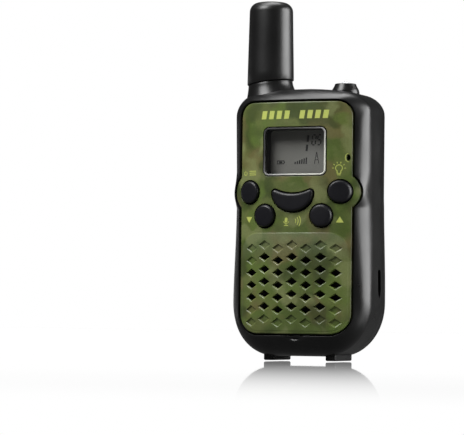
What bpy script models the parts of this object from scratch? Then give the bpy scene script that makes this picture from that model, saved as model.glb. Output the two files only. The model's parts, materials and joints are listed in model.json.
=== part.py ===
"""Toy walkie talkie: a hand-held radio with a camouflage faceplate, built as an assembly.

The scene is in metres with +Z up. The numbers below are millimetres, and MM turns them into metres.
The radio stands upright with its front facing -Y and X running to the right as seen from the front.
A "depth" is measured backwards from the middle of the faceplate's front; CENTRE_DEPTH puts the
whole object's middle at Y = 0. Z = 0 is the underside of the feet.
"""

import math

import bmesh
import bpy
from mathutils import Vector

MM = 0.001

# Driving dimensions, in millimetres
CENTRE_DEPTH = 19.25
BODY_HALF_WIDTH = 29.0
BODY_FLARE_HALF_WIDTH = 29.8
BODY_BOTTOM = 1.8
BODY_TOP = 109.5
BODY_TOP_RADIUS = 8.5
BODY_LOW_CORNER = (18.5, 21.5)
BODY_ARCH = 2.2
BODY_FRONT = 0.4
BODY_BACK = 32.0
BODY_UPPER_BACK = 30.5
PARTING_DEPTH = 25.9
GAP = 0.3
WALL = 1.8

BULGE_EDGE = 23.86
BULGE_DROP = 4.08
BULGE_POWER = 3.29

PLATE_THICKNESS = 1.6
PLATE_HALF_WIDTH = 23.9
PLATE_BOTTOM = 10.7
PLATE_TOP = 103.3
PLATE_TOP_RADIUS = 6.0
PLATE_BOTTOM_RADIUS = 8.5
EAR_RADIUS = 7.5
PLATE_GROOVE = 0.7

KEY_RADIUS = 4.6
KEY_HOLE_RADIUS = 4.95
KEY_PROUD = 1.3
OUTER_KEYS = (19.4, 67.3)
INNER_KEYS = (12.1, 57.7)

WINDOW = (-13.2, 14.2, 73.5, 93.4)
WINDOW_RADIUS = 2.6
MICROPHONE = (22.0, 80.8)
SOUND_HOLE = (22.4, 80.8)
SOUND_HOLE_HALF = (0.8, 1.3)
SPEAKER_HEIGHT = 30.6
GRILLE_PITCH = 6.0
GRILLE_ROW = 4.93
GRILLE_ROWS = 7
GRILLE_TOPS = (46.3, 44.9)
GRILLE_OPENING = (2.15, 1.4)
DIMPLE_DEPTH = 0.7

SIDE_SLOT_DEPTH = 20.2
SIDE_SLOT_HALF = 1.6
SIDE_SLOT_HEIGHTS = (25.0, 28.8, 35.3)

# Display: half width, lowest and highest edge of its panel, backlight and window flange
DISPLAY = (15.4, 71.6, 94.2)
KEY_STEM_BACK = 9.6

ANTENNA = (-16.3, 15.0)
ANTENNA_RIM = 112.8
ANTENNA_TOP = 145.3
LAMP = (16.3, 15.0)

BOARD_FRONT = 12.0
BOARD_BACK = 13.2

CELL_RADIUS = 5.2
CELL_PITCH = 11.2
CELL_LENGTH = 44.5
CELL_DEPTH = 23.2
TRAY_FLOOR = 17.8
COMPARTMENT = (22.6, 10.5, 59.5)
COVER_DEPTH = 30.7

CLIP_PIVOT = (35.0, 94.0)
CLIP_HALF_WIDTH = 7.6
PIN_RADIUS = 1.2

OUTLINE_TURN = {
    "front": (math.radians(90), 0, 0),
    "plan": (0, 0, 0),
    "side": (math.radians(90), 0, math.radians(90)),
}

# Two outlines of one body keep this far apart where their faces would otherwise coincide
CLEAR = 0.12

PARTS = None
CUTTERS = None


# Scene and collections

def clear_scene():
    for obj in list(bpy.data.objects):
        bpy.data.objects.remove(obj, do_unlink=True)


def make_collection(name):
    collection = bpy.data.collections.new(name)
    bpy.context.scene.collection.children.link(collection)
    return collection


def place(x, depth, z):
    """A point in metres from its sideways, backward and upward distances in millimetres."""
    return Vector((x, depth - CENTRE_DEPTH, z)) * MM


def material(name, colour, roughness, metallic=0.0, alpha=1.0):
    surface = bpy.data.materials.new(name)
    surface.use_nodes = True
    shader = surface.node_tree.nodes["Principled BSDF"]
    shader.inputs["Base Color"].default_value = (*colour, 1.0)
    shader.inputs["Roughness"].default_value = roughness
    shader.inputs["Metallic"].default_value = metallic
    shader.inputs["Alpha"].default_value = alpha
    surface.diffuse_color = (*colour, 1.0)
    surface.roughness = roughness
    surface.metallic = metallic
    return surface


FINISHES = {
    "housing": ((0.012, 0.012, 0.013), 0.55),
    "plate": ((0.13, 0.16, 0.05), 0.35),
    "rubber": ((0.010, 0.010, 0.010), 0.6),
    "black": ((0.02, 0.02, 0.022), 0.4),
    "window": ((0.75, 0.78, 0.78), 0.05, 0.0, 0.35),
    "lcd": ((0.13, 0.13, 0.12), 0.25),
    "white": ((0.75, 0.75, 0.72), 0.4),
    "board": ((0.02, 0.12, 0.05), 0.45),
    "tin": ((0.6, 0.6, 0.6), 0.3, 1.0),
    "steel": ((0.55, 0.55, 0.56), 0.35, 1.0),
    "brass": ((0.75, 0.55, 0.22), 0.35, 1.0),
    "magnet": ((0.05, 0.05, 0.055), 0.5),
    "paper": ((0.03, 0.03, 0.03), 0.85),
    "led": ((0.8, 0.82, 0.85), 0.1),
    "cell": ((0.45, 0.10, 0.03), 0.35),
}


def finish(obj, name, look):
    """Name a solid, give it its own material and put it among the parts."""
    obj.name = name
    obj.data.name = name
    obj.data.materials.clear()
    obj.data.materials.append(material(name + "_surface", *FINISHES[look]))
    for holder in list(obj.users_collection):
        holder.objects.unlink(obj)
    PARTS.objects.link(obj)
    return obj


def mesh_object(name, mesh):
    obj = bpy.data.objects.new(name, mesh)
    CUTTERS.objects.link(obj)
    obj.hide_render = True
    obj.display_type = "WIRE"
    return obj


def shown(obj):
    obj.hide_render = False
    obj.display_type = "TEXTURED"
    return obj


# Outlines

def arc(centre, radius, start, end, steps):
    """Points along an arc, with its angles in degrees and both ends included."""
    points = []
    for step in range(steps + 1):
        angle = math.radians(start + (end - start) * step / steps)
        points.append((centre[0] + radius * math.cos(angle), centre[1] + radius * math.sin(angle)))
    return points


def circle(centre, radius, steps=20):
    return arc(centre, radius, 0, 360, steps)[:-1]


def rounded_box(left, right, bottom, top, radius, steps=4):
    corners = (
        ((right - radius, bottom + radius), -90),
        ((right - radius, top - radius), 0),
        ((left + radius, top - radius), 90),
        ((left + radius, bottom + radius), 180),
    )
    points = []
    for centre, start in corners:
        points += arc(centre, radius, start, start + 90, steps)
    return points


def mirrored(right_side):
    """Close an outline given by its right half, from bottom to top."""
    return right_side + [(-x, v) for x, v in reversed(right_side)]


def bulge(x):
    """How far back the curved front lies at a distance from the middle."""
    return BULGE_DROP * (abs(x) / BULGE_EDGE) ** BULGE_POWER


def sound_hole(grow, steps=12):
    across, up = SOUND_HOLE_HALF
    return [(SOUND_HOLE[0] + (across + grow) * u, SOUND_HOLE[1] + (up + grow) * v)
            for u, v in circle((0.0, 0.0), 1.0, steps)]


def bulge_line(half_width, offset, steps=20):
    return [(x, bulge(x) + offset) for x in
            (half_width * (2 * step / steps - 1) for step in range(steps + 1))]


def arch_drop(x, z):
    """How far the gently arched top lies below its middle; nothing below its corners."""
    share = min(max((z - 94.0) / (BODY_TOP - 94.0), 0.0), 1.0)
    return BODY_ARCH * (x / 24.0) ** 2 * share


def body_outline(grow):
    """The body from the front: rounded bottom, slight flare above it, arched top."""
    flare = BODY_FLARE_HALF_WIDTH + grow
    side = BODY_HALF_WIDTH + grow
    across, up = BODY_LOW_CORNER
    low_centre = (BODY_FLARE_HALF_WIDTH - across, BODY_BOTTOM + up)
    high_centre = (BODY_HALF_WIDTH - BODY_TOP_RADIUS, BODY_TOP - BODY_TOP_RADIUS)
    right = [(low_centre[0] + (across + grow) * x, low_centre[1] + (up + grow) * z)
             for x, z in arc((0.0, 0.0), 1.0, -90, 0, 12)]
    right += [(flare, 26.0), (side, 52.0), (side, 92.0)]
    right += arc(high_centre, BODY_TOP_RADIUS + grow, 0, 90, 7)
    right += [(6.0, BODY_TOP + grow)]
    return mirrored([(x, z - arch_drop(x, z)) for x, z in right])


def body_plan(grow):
    """The body from above: bulged front, rounded front corners, wide rounded back corners."""
    front_radius = 6.4
    back_radius = 8.0
    join = 22.0
    side = BODY_FLARE_HALF_WIDTH + CLEAR
    front_centre = (side - front_radius, 9.9)
    back_centre = (side - back_radius, BODY_BACK + CLEAR - back_radius)
    front = [(x, max(depth, BODY_FRONT) - grow) for x, depth in bulge_line(join, 0.0, 16)]
    right = arc(front_centre, front_radius + grow, -90, 0, 6)
    right += arc(back_centre, back_radius + grow, 0, 90, 6)
    left = [(-x, depth) for x, depth in reversed(right)]
    return front + right + left


def body_side(grow):
    """The body from the side: rounded front edges, a slightly thicker battery end."""
    front = BODY_FRONT - CLEAR + 6
    top = BODY_TOP + CLEAR
    bottom = BODY_BOTTOM - CLEAR
    points = arc((front, bottom + 6), 6 + grow, 270, 180, 5)
    points += arc((front, top - 6), 6 + grow, 180, 90, 5)
    points += arc((BODY_UPPER_BACK - 7, top - 7), 7 + grow, 90, 0, 5)
    points += [(BODY_UPPER_BACK + grow, 66.0), (BODY_BACK + grow, 62.5)]
    points += arc((BODY_BACK - 5, bottom + 5), 5 + grow, 0, -90, 4)
    return points


def plate_outline(grow):
    """The faceplate: rounded panel with a round ear beside each outer key."""
    half = PLATE_HALF_WIDTH + grow
    ear = EAR_RADIUS + grow
    reach = math.degrees(math.acos((half - OUTER_KEYS[0]) / ear))
    low = (PLATE_HALF_WIDTH - PLATE_BOTTOM_RADIUS, PLATE_BOTTOM + PLATE_BOTTOM_RADIUS)
    high = (PLATE_HALF_WIDTH - PLATE_TOP_RADIUS, PLATE_TOP - PLATE_TOP_RADIUS)
    right = arc(low, PLATE_BOTTOM_RADIUS + grow, -90, 0, 6)
    right += arc(OUTER_KEYS, ear, -reach, reach, 8)
    right += arc(high, PLATE_TOP_RADIUS + grow, 0, 90, 5)
    return mirrored(right)


def talk_key_outline(shrink):
    """The wide middle key: round bottom like a smile, two round shoulders and a hollow top."""
    half, middle, drop = 9.3, 66.8, 7.9
    right = [((half - shrink) * x, middle + (drop - shrink) * z) for x, z in arc((0.0, 0.0), 1.0, -90, -10, 8)]
    right += arc((half - 1.8, middle), 1.8 - shrink, 0, 95, 4)
    right += [(x, 67.0 - shrink + 1.55 * (x / 7.1) ** 2) for x in (4.9, 2.5)]
    return mirrored(right)


def diamond(x, z, half_width, half_height):
    return [(x + half_width, z), (x, z + half_height), (x - half_width, z), (x, z - half_height)]


def grille_cells():
    """Each grille cell as x, z and whether it goes right through; the rest are shallow dimples.

    Neighbouring columns are offset by part of a row, and the outermost have the fewest openings.
    """
    cells = []
    for column in range(-3, 4):
        top = GRILLE_TOPS[column % 2]
        closed_rows = 2 if abs(column) == 3 else 1
        for row in range(GRILLE_ROWS):
            through = closed_rows <= row < GRILLE_ROWS - closed_rows
            cells.append((column * GRILLE_PITCH, top - row * GRILLE_ROW, through))
    return cells


# Solids from outlines, primitives, profiles and wires

def as_mesh(curve_object):
    """Turn a curve object into a welded mesh object of its own."""
    bpy.context.view_layer.update()
    graph = bpy.context.evaluated_depsgraph_get()
    mesh = bpy.data.meshes.new_from_object(curve_object.evaluated_get(graph))
    solid = bmesh.new()
    solid.from_mesh(mesh)
    bmesh.ops.remove_doubles(solid, verts=solid.verts, dist=1e-6)
    bmesh.ops.recalc_face_normals(solid, faces=solid.faces)
    solid.to_mesh(mesh)
    solid.free()
    result = mesh_object(curve_object.name, mesh)
    result.matrix_world = curve_object.matrix_world.copy()
    bpy.data.objects.remove(curve_object, do_unlink=True)
    return result


def prism(name, loops, low, high, view):
    """One or more flat outlines, drawn as seen in a view, made solid from low to high."""
    curve = bpy.data.curves.new(name, "CURVE")
    curve.dimensions = "2D"
    curve.fill_mode = "BOTH"
    curve.extrude = (high - low) / 2 * MM
    for loop in loops:
        spline = curve.splines.new("POLY")
        spline.points.add(len(loop) - 1)
        for point, (u, v) in zip(spline.points, loop):
            point.co = (u * MM, v * MM, 0, 1)
        spline.use_cyclic_u = True
    obj = bpy.data.objects.new(name, curve)
    CUTTERS.objects.link(obj)
    middle = (low + high) / 2
    spot = {"front": (0, middle, 0), "plan": (0, 0, middle), "side": (middle, 0, 0)}[view]
    obj.location = place(*spot)
    obj.rotation_euler = OUTLINE_TURN[view]
    return as_mesh(obj)


def box(name, low, high):
    """A block between two corners given as (x, depth, z)."""
    solid = bmesh.new()
    bmesh.ops.create_cube(solid, size=1.0)
    size = [(b - a) * MM for a, b in zip(low, high)]
    bmesh.ops.scale(solid, vec=size, verts=solid.verts)
    mesh = bpy.data.meshes.new(name)
    solid.to_mesh(mesh)
    solid.free()
    obj = mesh_object(name, mesh)
    obj.location = place(*[(a + b) / 2 for a, b in zip(low, high)])
    return obj


AXIS_TURN = {"z": (0, 0, 0), "y": (math.radians(90), 0, 0), "x": (0, math.radians(90), 0)}


def cylinder(name, centre, radius, length, axis, segments=24):
    """A cylinder centred on a point, along x, the depth (y) or z."""
    solid = bmesh.new()
    bmesh.ops.create_cone(solid, cap_ends=True, segments=segments, radius1=radius * MM,
                          radius2=radius * MM, depth=length * MM)
    mesh = bpy.data.meshes.new(name)
    solid.to_mesh(mesh)
    solid.free()
    obj = mesh_object(name, mesh)
    obj.location = place(*centre)
    obj.rotation_euler = AXIS_TURN[axis]
    return obj


def turned(name, profile, origin, axis="z", steps=24, closed=False):
    """A lathe shape. The profile holds (radius, height) down its outer side from the top.

    With axis "z" height is up; with axis "y" height points to the front, against the depth.
    """
    outline = bmesh.new()
    verts = [outline.verts.new((radius * MM, 0, height * MM)) for radius, height in profile]
    for first, second in zip(verts, verts[1:]):
        outline.edges.new((first, second))
    if closed:
        outline.edges.new((verts[-1], verts[0]))
    mesh = bpy.data.meshes.new(name)
    outline.to_mesh(mesh)
    outline.free()
    obj = mesh_object(name, mesh)
    obj.location = place(*origin)
    obj.rotation_euler = AXIS_TURN[axis]
    screw = obj.modifiers.new("turn", "SCREW")
    screw.angle = math.tau
    screw.steps = steps
    screw.render_steps = steps
    screw.use_merge_vertices = True
    screw.merge_threshold = 1e-6
    return obj


def wire(name, points, radius, resolution=1):
    """A round wire through points given as (x, depth, z)."""
    curve = bpy.data.curves.new(name, "CURVE")
    curve.dimensions = "3D"
    curve.bevel_depth = radius * MM
    curve.bevel_resolution = resolution
    curve.use_fill_caps = True
    spline = curve.splines.new("POLY")
    spline.points.add(len(points) - 1)
    for point, spot in zip(spline.points, points):
        point.co = (*place(*spot), 1)
    obj = bpy.data.objects.new(name, curve)
    CUTTERS.objects.link(obj)
    return as_mesh(obj)


def boolean(obj, other, operation):
    modifier = obj.modifiers.new(other.name, "BOOLEAN")
    modifier.operation = operation
    modifier.solver = "EXACT"
    modifier.object = other
    return obj


def cut(obj, *tools):
    for tool in tools:
        boolean(obj, tool, "DIFFERENCE")
    return obj


def keep(obj, *tools):
    for tool in tools:
        boolean(obj, tool, "INTERSECT")
    return obj


def join(obj, *tools):
    for tool in tools:
        boolean(obj, tool, "UNION")
    return obj


def sharp_shading(obj, degrees=35):
    obj.data.shade_smooth()
    obj.data.set_sharp_from_angle(angle=math.radians(degrees))


# The body

def body_block(name, grow, low, high):
    """The body's outer shape between two depths, from its three outlines."""
    block = prism(name, [body_outline(grow)], low, high, "front")
    plan = prism(name + "_plan", [body_plan(grow)], -5, 125, "plan")
    side = prism(name + "_side", [body_side(grow)], -40, 40, "side")
    return keep(block, plan, side)


def inner_space(name, low_depth, high_depth):
    """The hollow behind the front wall, following its bulge."""
    space = prism(name, [body_outline(-WALL)], low_depth, high_depth, "front")
    line = bulge_line(29.0, 3.1, 24)
    plan = prism(name + "_plan", [line + [(29.0, 60.0), (-29.0, 60.0)]], -5, 125, "plan")
    return keep(space, plan)


def housing_screws():
    """Where the housing's screws are, as x and z, with the boss radius there."""
    return [(-22.5, 100.5, 2.6), (22.5, 100.5, 2.6), (-9.0, 5.9, 2.3), (9.0, 5.9, 2.3)]


def side_slot(name):
    """The strap slot in the right side: round top, pointed bottom."""
    depth, half = SIDE_SLOT_DEPTH, SIDE_SLOT_HALF
    tip, waist, round_centre = SIDE_SLOT_HEIGHTS
    outline = arc((depth, round_centre), half, 0, 180, 6)
    outline += [(depth - half, waist), (depth, tip), (depth + half, waist)]
    return prism(name, [outline], 26.0, 32.0, "side")


def make_front_housing():
    body = body_block("front_housing", 0.0, -3.0, PARTING_DEPTH - 0.1)
    cut(body, inner_space("front_space", 1.0, 27.0))
    recess = prism("plate_recess", [plate_outline(PLATE_GROOVE)], -6.0, 12.0, "front")
    floor_line = bulge_line(28.5, PLATE_THICKNESS + GAP, 24)
    keep(recess, prism("recess_floor", [floor_line + [(28.5, -5.0), (-28.5, -5.0)]], 5, 108, "plan"))
    left, right, low, high = WINDOW
    loops = [rounded_box(left - 0.7, right + 0.7, low - 0.7, high + 0.7, WINDOW_RADIUS + 0.7)]
    for side in (-1, 1):
        loops.append(circle((side * OUTER_KEYS[0], OUTER_KEYS[1]), KEY_HOLE_RADIUS + GAP))
        loops.append(circle((side * INNER_KEYS[0], INNER_KEYS[1]), KEY_HOLE_RADIUS + GAP))
    loops.append(talk_key_outline(-0.3))
    loops.append(sound_hole(-0.1, 10))
    loops.append(rounded_box(-19.8, 19.8, 13.2, 48.8, 4.0))
    windows = prism("front_openings", loops, -4.0, 9.6, "front")
    antenna_hole = cylinder("antenna_hole", (*ANTENNA, 108.0), 3.4, 12.0, "z", 20)
    lamp_hole = cylinder("lamp_hole", (*LAMP, 108.0), 2.9, 12.0, "z", 20)
    thumb_notch = turned("thumb_notch", [(0.0, 2.6), (3.4, 1.6), (4.6, 0.0), (3.4, -1.6), (0.0, -2.6)],
                         (0.0, -0.4, 7.2), steps=16)
    cut(body, recess, windows, antenna_hole, lamp_hole, side_slot("front_slot"), thumb_notch)
    for number, (x, z, radius) in enumerate(housing_screws(), 1):
        front = bulge(x) + 2.4
        middle = (front + PARTING_DEPTH - 0.1) / 2
        length = PARTING_DEPTH - 0.1 - front
        post = cylinder(f"post_{number}", (x, middle, z), radius, length, "y", 16)
        bore = cylinder(f"post_bore_{number}", (x, 21.0, z), 1.3, 14.0, "y", 12)
        join(body, post)
        cut(body, bore)
    return finish(shown(body), "front_housing", "housing")


def make_rear_housing():
    half, low, high = COMPARTMENT
    body = body_block("rear_housing", 0.0, PARTING_DEPTH + 0.1, BODY_BACK + 3)
    space = prism("rear_space", [body_outline(-WALL)], 20.0, 28.6, "front")
    cut(body, keep(space, prism("rear_space_side", [body_side(-WALL)], -40, 40, "side")))
    tray = rounded_box(-half - WALL, half + WALL, low - WALL, high + WALL, 5.0, 5)
    join(body, prism("cell_tray", [tray], TRAY_FLOOR - 1.6, 29.0, "front"))
    for number, (x, z, _) in enumerate(housing_screws(), 1):
        join(body, cylinder(f"rear_boss_{number}", (x, 27.8, z), 3.0, 3.4, "y", 16))
    compartment = box("compartment", (-half, TRAY_FLOOR, low), (half, 40.0, high))
    cover_seat = prism("cover_seat", [cover_outline(GAP)], COVER_DEPTH - GAP, 40.0, "front")
    cut(body, compartment, cover_seat)
    for number, (x, z, _) in enumerate(housing_screws(), 1):
        cut(body, cylinder(f"screw_head_hole_{number}", (x, 33.2, z), 2.3, 10.0, "y", 16),
            cylinder(f"screw_hole_{number}", (x, 27.0, z), 1.3, 6.0, "y", 12))
    return finish(shown(body), "rear_housing", "housing")


def cover_outline(grow):
    half, low, high = COMPARTMENT
    return rounded_box(-half - 1.5 - grow, half + 1.5 + grow, low - 1.8 - grow, high + 2.0 + grow, 4.0, 5)


def make_faceplate():
    loops = [plate_outline(0.0), rounded_box(*WINDOW, WINDOW_RADIUS)]
    for side in (-1, 1):
        loops.append(circle((side * OUTER_KEYS[0], OUTER_KEYS[1]), KEY_HOLE_RADIUS))
        loops.append(circle((side * INNER_KEYS[0], INNER_KEYS[1]), KEY_HOLE_RADIUS))
    loops.append(talk_key_outline(0.0))
    loops.append(sound_hole(0.0))
    loops += [diamond(x, z, *GRILLE_OPENING) for x, z, through in grille_cells() if through]
    plate = prism("faceplate", loops, -3.0, 12.0, "front")
    slab = bulge_line(28.0, 0.0, 28) + list(reversed(bulge_line(28.0, PLATE_THICKNESS, 28)))
    keep(plate, prism("plate_slab", [slab], 5, 108, "plan"))
    for column in range(-3, 4):
        x = column * GRILLE_PITCH
        loops = [diamond(cx, z, *GRILLE_OPENING) for cx, z, through in grille_cells()
                 if not through and abs(cx - x) < 1e-6]
        cut(plate, prism(f"dimples_{column + 3}", loops, -2.0, bulge(x) + DIMPLE_DEPTH, "front"))
    return finish(shown(plate), "faceplate", "plate")


def make_display():
    half, low, high = DISPLAY
    left, right, bottom, top = WINDOW
    cap = rounded_box(left + GAP, right - GAP, bottom + GAP, top - GAP, WINDOW_RADIUS - GAP)
    hollow = rounded_box(left + 1.3, right - 1.3, bottom + 1.3, top - 1.3, WINDOW_RADIUS - 1.3)
    window = prism("lcd_window", [cap], 0.3, 5.2, "front")
    join(window, box("window_flange", (-half, 4.7, low), (half, 5.7, high)))
    cut(window, prism("window_hollow", [hollow], 1.3, 8.0, "front"))
    finish(shown(window), "lcd_window", "window")
    panel = box("lcd_panel", (-half, 6.0, low), (half, 8.0, high))
    finish(shown(panel), "lcd_panel", "lcd")
    backlight = box("lcd_backlight", (-half, 8.3, low + 3.3), (half, 9.6, high))
    finish(shown(backlight), "lcd_backlight", "white")
    strip = box("lcd_connector", (-13.0, 8.3, 72.0), (13.0, BOARD_FRONT - GAP, 74.4))
    finish(shown(strip), "lcd_connector", "rubber")
    rim = [rounded_box(-17.2, 17.2, 70.6, 95.6, 1.5, 3),
           rounded_box(-half - GAP, half + GAP, low - GAP, high + GAP, 0.6, 2)]
    frame = prism("lcd_frame", rim, 4.9, 9.6, "front")
    return finish(shown(frame), "lcd_frame", "black")


# Keys

def make_key(name, outline, stem_low, stem_high):
    """A rubber key whose face follows the faceplate's bulge, with a stem towards the board."""
    xs = [x for x, _ in outline]
    key = prism(name, [outline], -6.0, 7.0, "front")
    low, high = min(xs) - 1, max(xs) + 1
    steps = 10
    line = [low + (high - low) * step / steps for step in range(steps + 1)]
    face = [(x, bulge(x) - KEY_PROUD) for x in line] + [(high, 9.0), (low, 9.0)]
    keep(key, prism(name + "_face", [face], 40, 80, "plan"))
    stem = box(name + "_stem", (stem_low[0], 6.0, stem_low[1]), (stem_high[0], KEY_STEM_BACK, stem_high[1]))
    join(key, stem)
    return finish(shown(key), name, "rubber")


def make_keys():
    places = {
        "menu_key": (-OUTER_KEYS[0], OUTER_KEYS[1]),
        "light_key": OUTER_KEYS,
        "down_key": (-INNER_KEYS[0], INNER_KEYS[1]),
        "up_key": INNER_KEYS,
    }
    for name, (x, z) in places.items():
        make_key(name, circle((x, z), KEY_RADIUS), (x - 2.2, z - 2.2), (x + 2.2, z + 2.2))
    make_key("ptt_key", talk_key_outline(0.35), (-4.5, 61.0), (4.5, 65.0))
    sheet = prism("keypad_membrane", [rounded_box(-25.0, 25.0, 52.0, 70.2, 3.0)], 10.9, 11.7, "front")
    return finish(shown(sheet), "keypad_membrane", "rubber")


# Circuit board and what is on it

def make_board():
    loops = [rounded_box(-26.0, 26.0, 50.6, 104.2, 4.5)]
    loops += [circle((x, z), 3.0, 16) for x, z, _ in housing_screws()[:2]]
    board = prism("main_pcb", loops, BOARD_FRONT, BOARD_BACK, "front")
    finish(shown(board), "main_pcb", "board")
    seat = BOARD_BACK + GAP
    blocks = {
        "rf_shield_can": ((-9.0, seat, 82.0), (9.0, seat + 3.5, 98.0), "tin"),
        "controller_chip": ((-6.0, seat, 64.5), (6.0, seat + 1.6, 76.5), "black"),
        "audio_amp_chip": ((12.0, seat, 66.0), (18.0, seat + 1.6, 74.0), "black"),
    }
    for name, (low, high, look) in blocks.items():
        finish(shown(box(name, low, high)), name, look)
    crystal = prism("crystal_can", [rounded_box(-20.0, -10.0, 68.0, 72.0, 1.9)], seat, seat + 3.4, "front")
    finish(shown(crystal), "crystal_can", "tin")
    for name, x in (("capacitor_left", -17.0), ("capacitor_right", 17.5)):
        can = cylinder(name, (x, seat + 4.0, 84.0), 3.2, 8.0, "y", 20)
        finish(shown(can), name, "magnet")


def make_microphone():
    x, z = MICROPHONE
    boot = turned("mic_boot", [(3.4, -8.2), (3.4, -11.7), (0.0, -11.7), (0.0, -11.0), (2.7, -11.0),
                               (2.7, -8.2)], (x, 0.0, z), "y", 20, closed=True)
    finish(shown(boot), "mic_boot", "rubber")
    capsule = cylinder("mic_capsule", (x, 9.5, z), 2.35, 2.2, "y", 20)
    finish(shown(capsule), "mic_capsule", "tin")


# Speaker behind the grille, turned about the depth axis

def make_speaker():
    centre = (0.0, 0.0, SPEAKER_HEIGHT)
    mesh = prism("speaker_mesh", [rounded_box(-21.0, 21.0, 12.3, 49.7, 4.0)], 5.8, 6.2, "front")
    finish(shown(mesh), "speaker_mesh", "paper")
    gasket = turned("speaker_gasket", [(18.0, -6.5), (18.0, -7.3), (15.2, -7.3), (15.2, -6.5)],
                    centre, "y", 28, closed=True)
    finish(shown(gasket), "speaker_gasket", "rubber")
    basket = [(18.0, -7.6), (18.0, -8.6), (16.0, -8.9), (9.0, -12.2), (9.0, -12.9),
              (7.2, -12.9), (7.2, -11.9), (8.2, -11.6), (15.2, -8.2), (15.2, -7.6)]
    frame = turned("speaker_frame", basket, centre, "y", 28, closed=True)
    finish(shown(frame), "speaker_frame", "steel")
    paper = [(0.0, -9.2), (3.2, -9.8), (4.2, -10.4), (14.6, -7.7), (14.6, -8.1), (6.0, -11.0), (0.0, -11.0)]
    cone = turned("speaker_cone", paper, centre, "y", 28)
    finish(shown(cone), "speaker_cone", "paper")
    magnet = cylinder("speaker_magnet", (0.0, 14.4, SPEAKER_HEIGHT), 8.8, 2.4, "y", 28)
    finish(shown(magnet), "speaker_magnet", "magnet")


# Antenna on the left shoulder and lamp on the right one

def make_antenna():
    rounding = arc((4.95, ANTENNA_TOP - 3.9), 3.9, 90, 0, 6)
    shell = [(0.0, ANTENNA_TOP)] + rounding
    shell += [(9.45, ANTENNA_RIM), (7.0, ANTENNA_RIM), (7.0, 140.5), (0.0, 140.5)]
    sleeve = turned("antenna_sleeve", shell, (*ANTENNA, 0.0), steps=32)
    finish(shown(sleeve), "antenna_sleeve", "rubber")
    ring = [(8.9, 112.5), (9.4, 110.6), (10.9, 106.6), (10.9, 103.5), (3.4, 103.5), (3.4, 112.5)]
    collar = turned("antenna_collar", ring, (*ANTENNA, 0.0), steps=32, closed=True)
    cut(collar, body_block("collar_seat", GAP, -3.0, BODY_BACK + 3))
    finish(shown(collar), "antenna_collar", "housing")
    rod = [(0.0, 139.5), (5.2, 139.5), (5.2, 113.6), (3.0, 113.6), (3.0, 106.0), (1.3, 105.4),
           (1.3, 98.5), (0.0, 98.5)]
    core = turned("antenna_core", rod, (*ANTENNA, 0.0), steps=20)
    finish(shown(core), "antenna_core", "white")
    turns, per_turn, radius = 8, 10, 6.1
    spiral = []
    for step in range(turns * per_turn + 1):
        angle = math.tau * step / per_turn
        height = 115.0 + 23.0 * step / (turns * per_turn)
        spiral.append((ANTENNA[0] + radius * math.cos(angle), ANTENNA[1] + radius * math.sin(angle), height))
    finish(shown(wire("antenna_coil", spiral, 0.45)), "antenna_coil", "brass")


def make_lamp():
    ring = [(4.5, 111.3), (4.9, 110.9), (5.7, 108.6), (5.75, 104.0), (3.0, 104.0), (3.0, 111.3)]
    bezel = turned("torch_bezel", ring, (*LAMP, 0.0), steps=28, closed=True)
    cut(bezel, body_block("bezel_seat", GAP, -3.0, BODY_BACK + 3))
    finish(shown(bezel), "torch_bezel", "housing")
    dome = [(0.0, 112.4)] + arc((0.0, 109.9), 2.5, 80, 0, 6) + [(2.5, 106.2), (0.0, 106.2)]
    led = turned("torch_led", dome, (*LAMP, 0.0), steps=20)
    for side in (-1, 1):
        x = LAMP[0] + side * 1.27
        join(led, box(f"led_leg_{side}", (x - 0.25, 14.6, 99.0), (x + 0.25, 15.1, 106.8)))
    finish(shown(led), "torch_led", "led")


# Batteries, contacts and cover

def make_batteries():
    for number in range(4):
        x = (number - 1.5) * CELL_PITCH
        upright = number % 2 == 0
        low = 13.7 if upright else 11.5
        high = low + CELL_LENGTH
        spots = [(0.0, CELL_LENGTH), (1.8, CELL_LENGTH), (1.8, 43.6), (CELL_RADIUS, 43.4), (CELL_RADIUS, 0.3),
                 (4.4, 0.0), (0.0, 0.0)]
        if not upright:
            spots = [(radius, CELL_LENGTH - height) for radius, height in reversed(spots)]
        cell = turned(f"battery_cell_{number + 1}", spots, (x, CELL_DEPTH, low), steps=24)
        finish(shown(cell), f"battery_cell_{number + 1}", "cell")
        bottom, top = (11.8, 13.1) if upright else (high + 0.6, high + 1.9)
        turns, per_turn = 2, 12
        spiral = []
        for step in range(turns * per_turn + 1):
            along = step / (turns * per_turn)
            radius = 3.5 - 1.3 * (along if upright else 1 - along)
            angle = math.tau * step / per_turn
            spiral.append((x + radius * math.cos(angle), CELL_DEPTH + radius * math.sin(angle),
                           bottom + (top - bottom) * along))
        spring = wire(f"battery_spring_{number + 1}", spiral, 0.25)
        finish(shown(spring), f"battery_spring_{number + 1}", "steel")
    plates = {
        "contact_bottom_1": (-21.4, -12.2, 10.8),
        "contact_bottom_2": (-10.2, 10.2, 10.8),
        "contact_bottom_3": (12.2, 21.4, 10.8),
        "contact_top_1": (-21.4, -1.0, 58.8),
        "contact_top_2": (1.0, 21.4, 58.8),
    }
    for name, (left, right, z) in plates.items():
        plate = box(name, (left, CELL_DEPTH - 4.4, z), (right, CELL_DEPTH + 4.4, z + 0.4))
        finish(shown(plate), name, "tin")


def make_battery_cover():
    """The cover turns out on its top outer edge, so its origin is on that edge."""
    cover = prism("battery_cover", [cover_outline(0.0)], COVER_DEPTH, BODY_BACK, "front")
    grip = prism("cover_grip", [rounded_box(-6.0, 6.0, z, z + 0.8, 0.39, 2) for z in (13.0, 15.0, 17.0, 19.0)],
                 BODY_BACK - 0.5, BODY_BACK + 2, "front")
    cut(cover, grip)
    return finish(shown(cover), "battery_cover", "housing")


# Belt clip on the back

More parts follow.
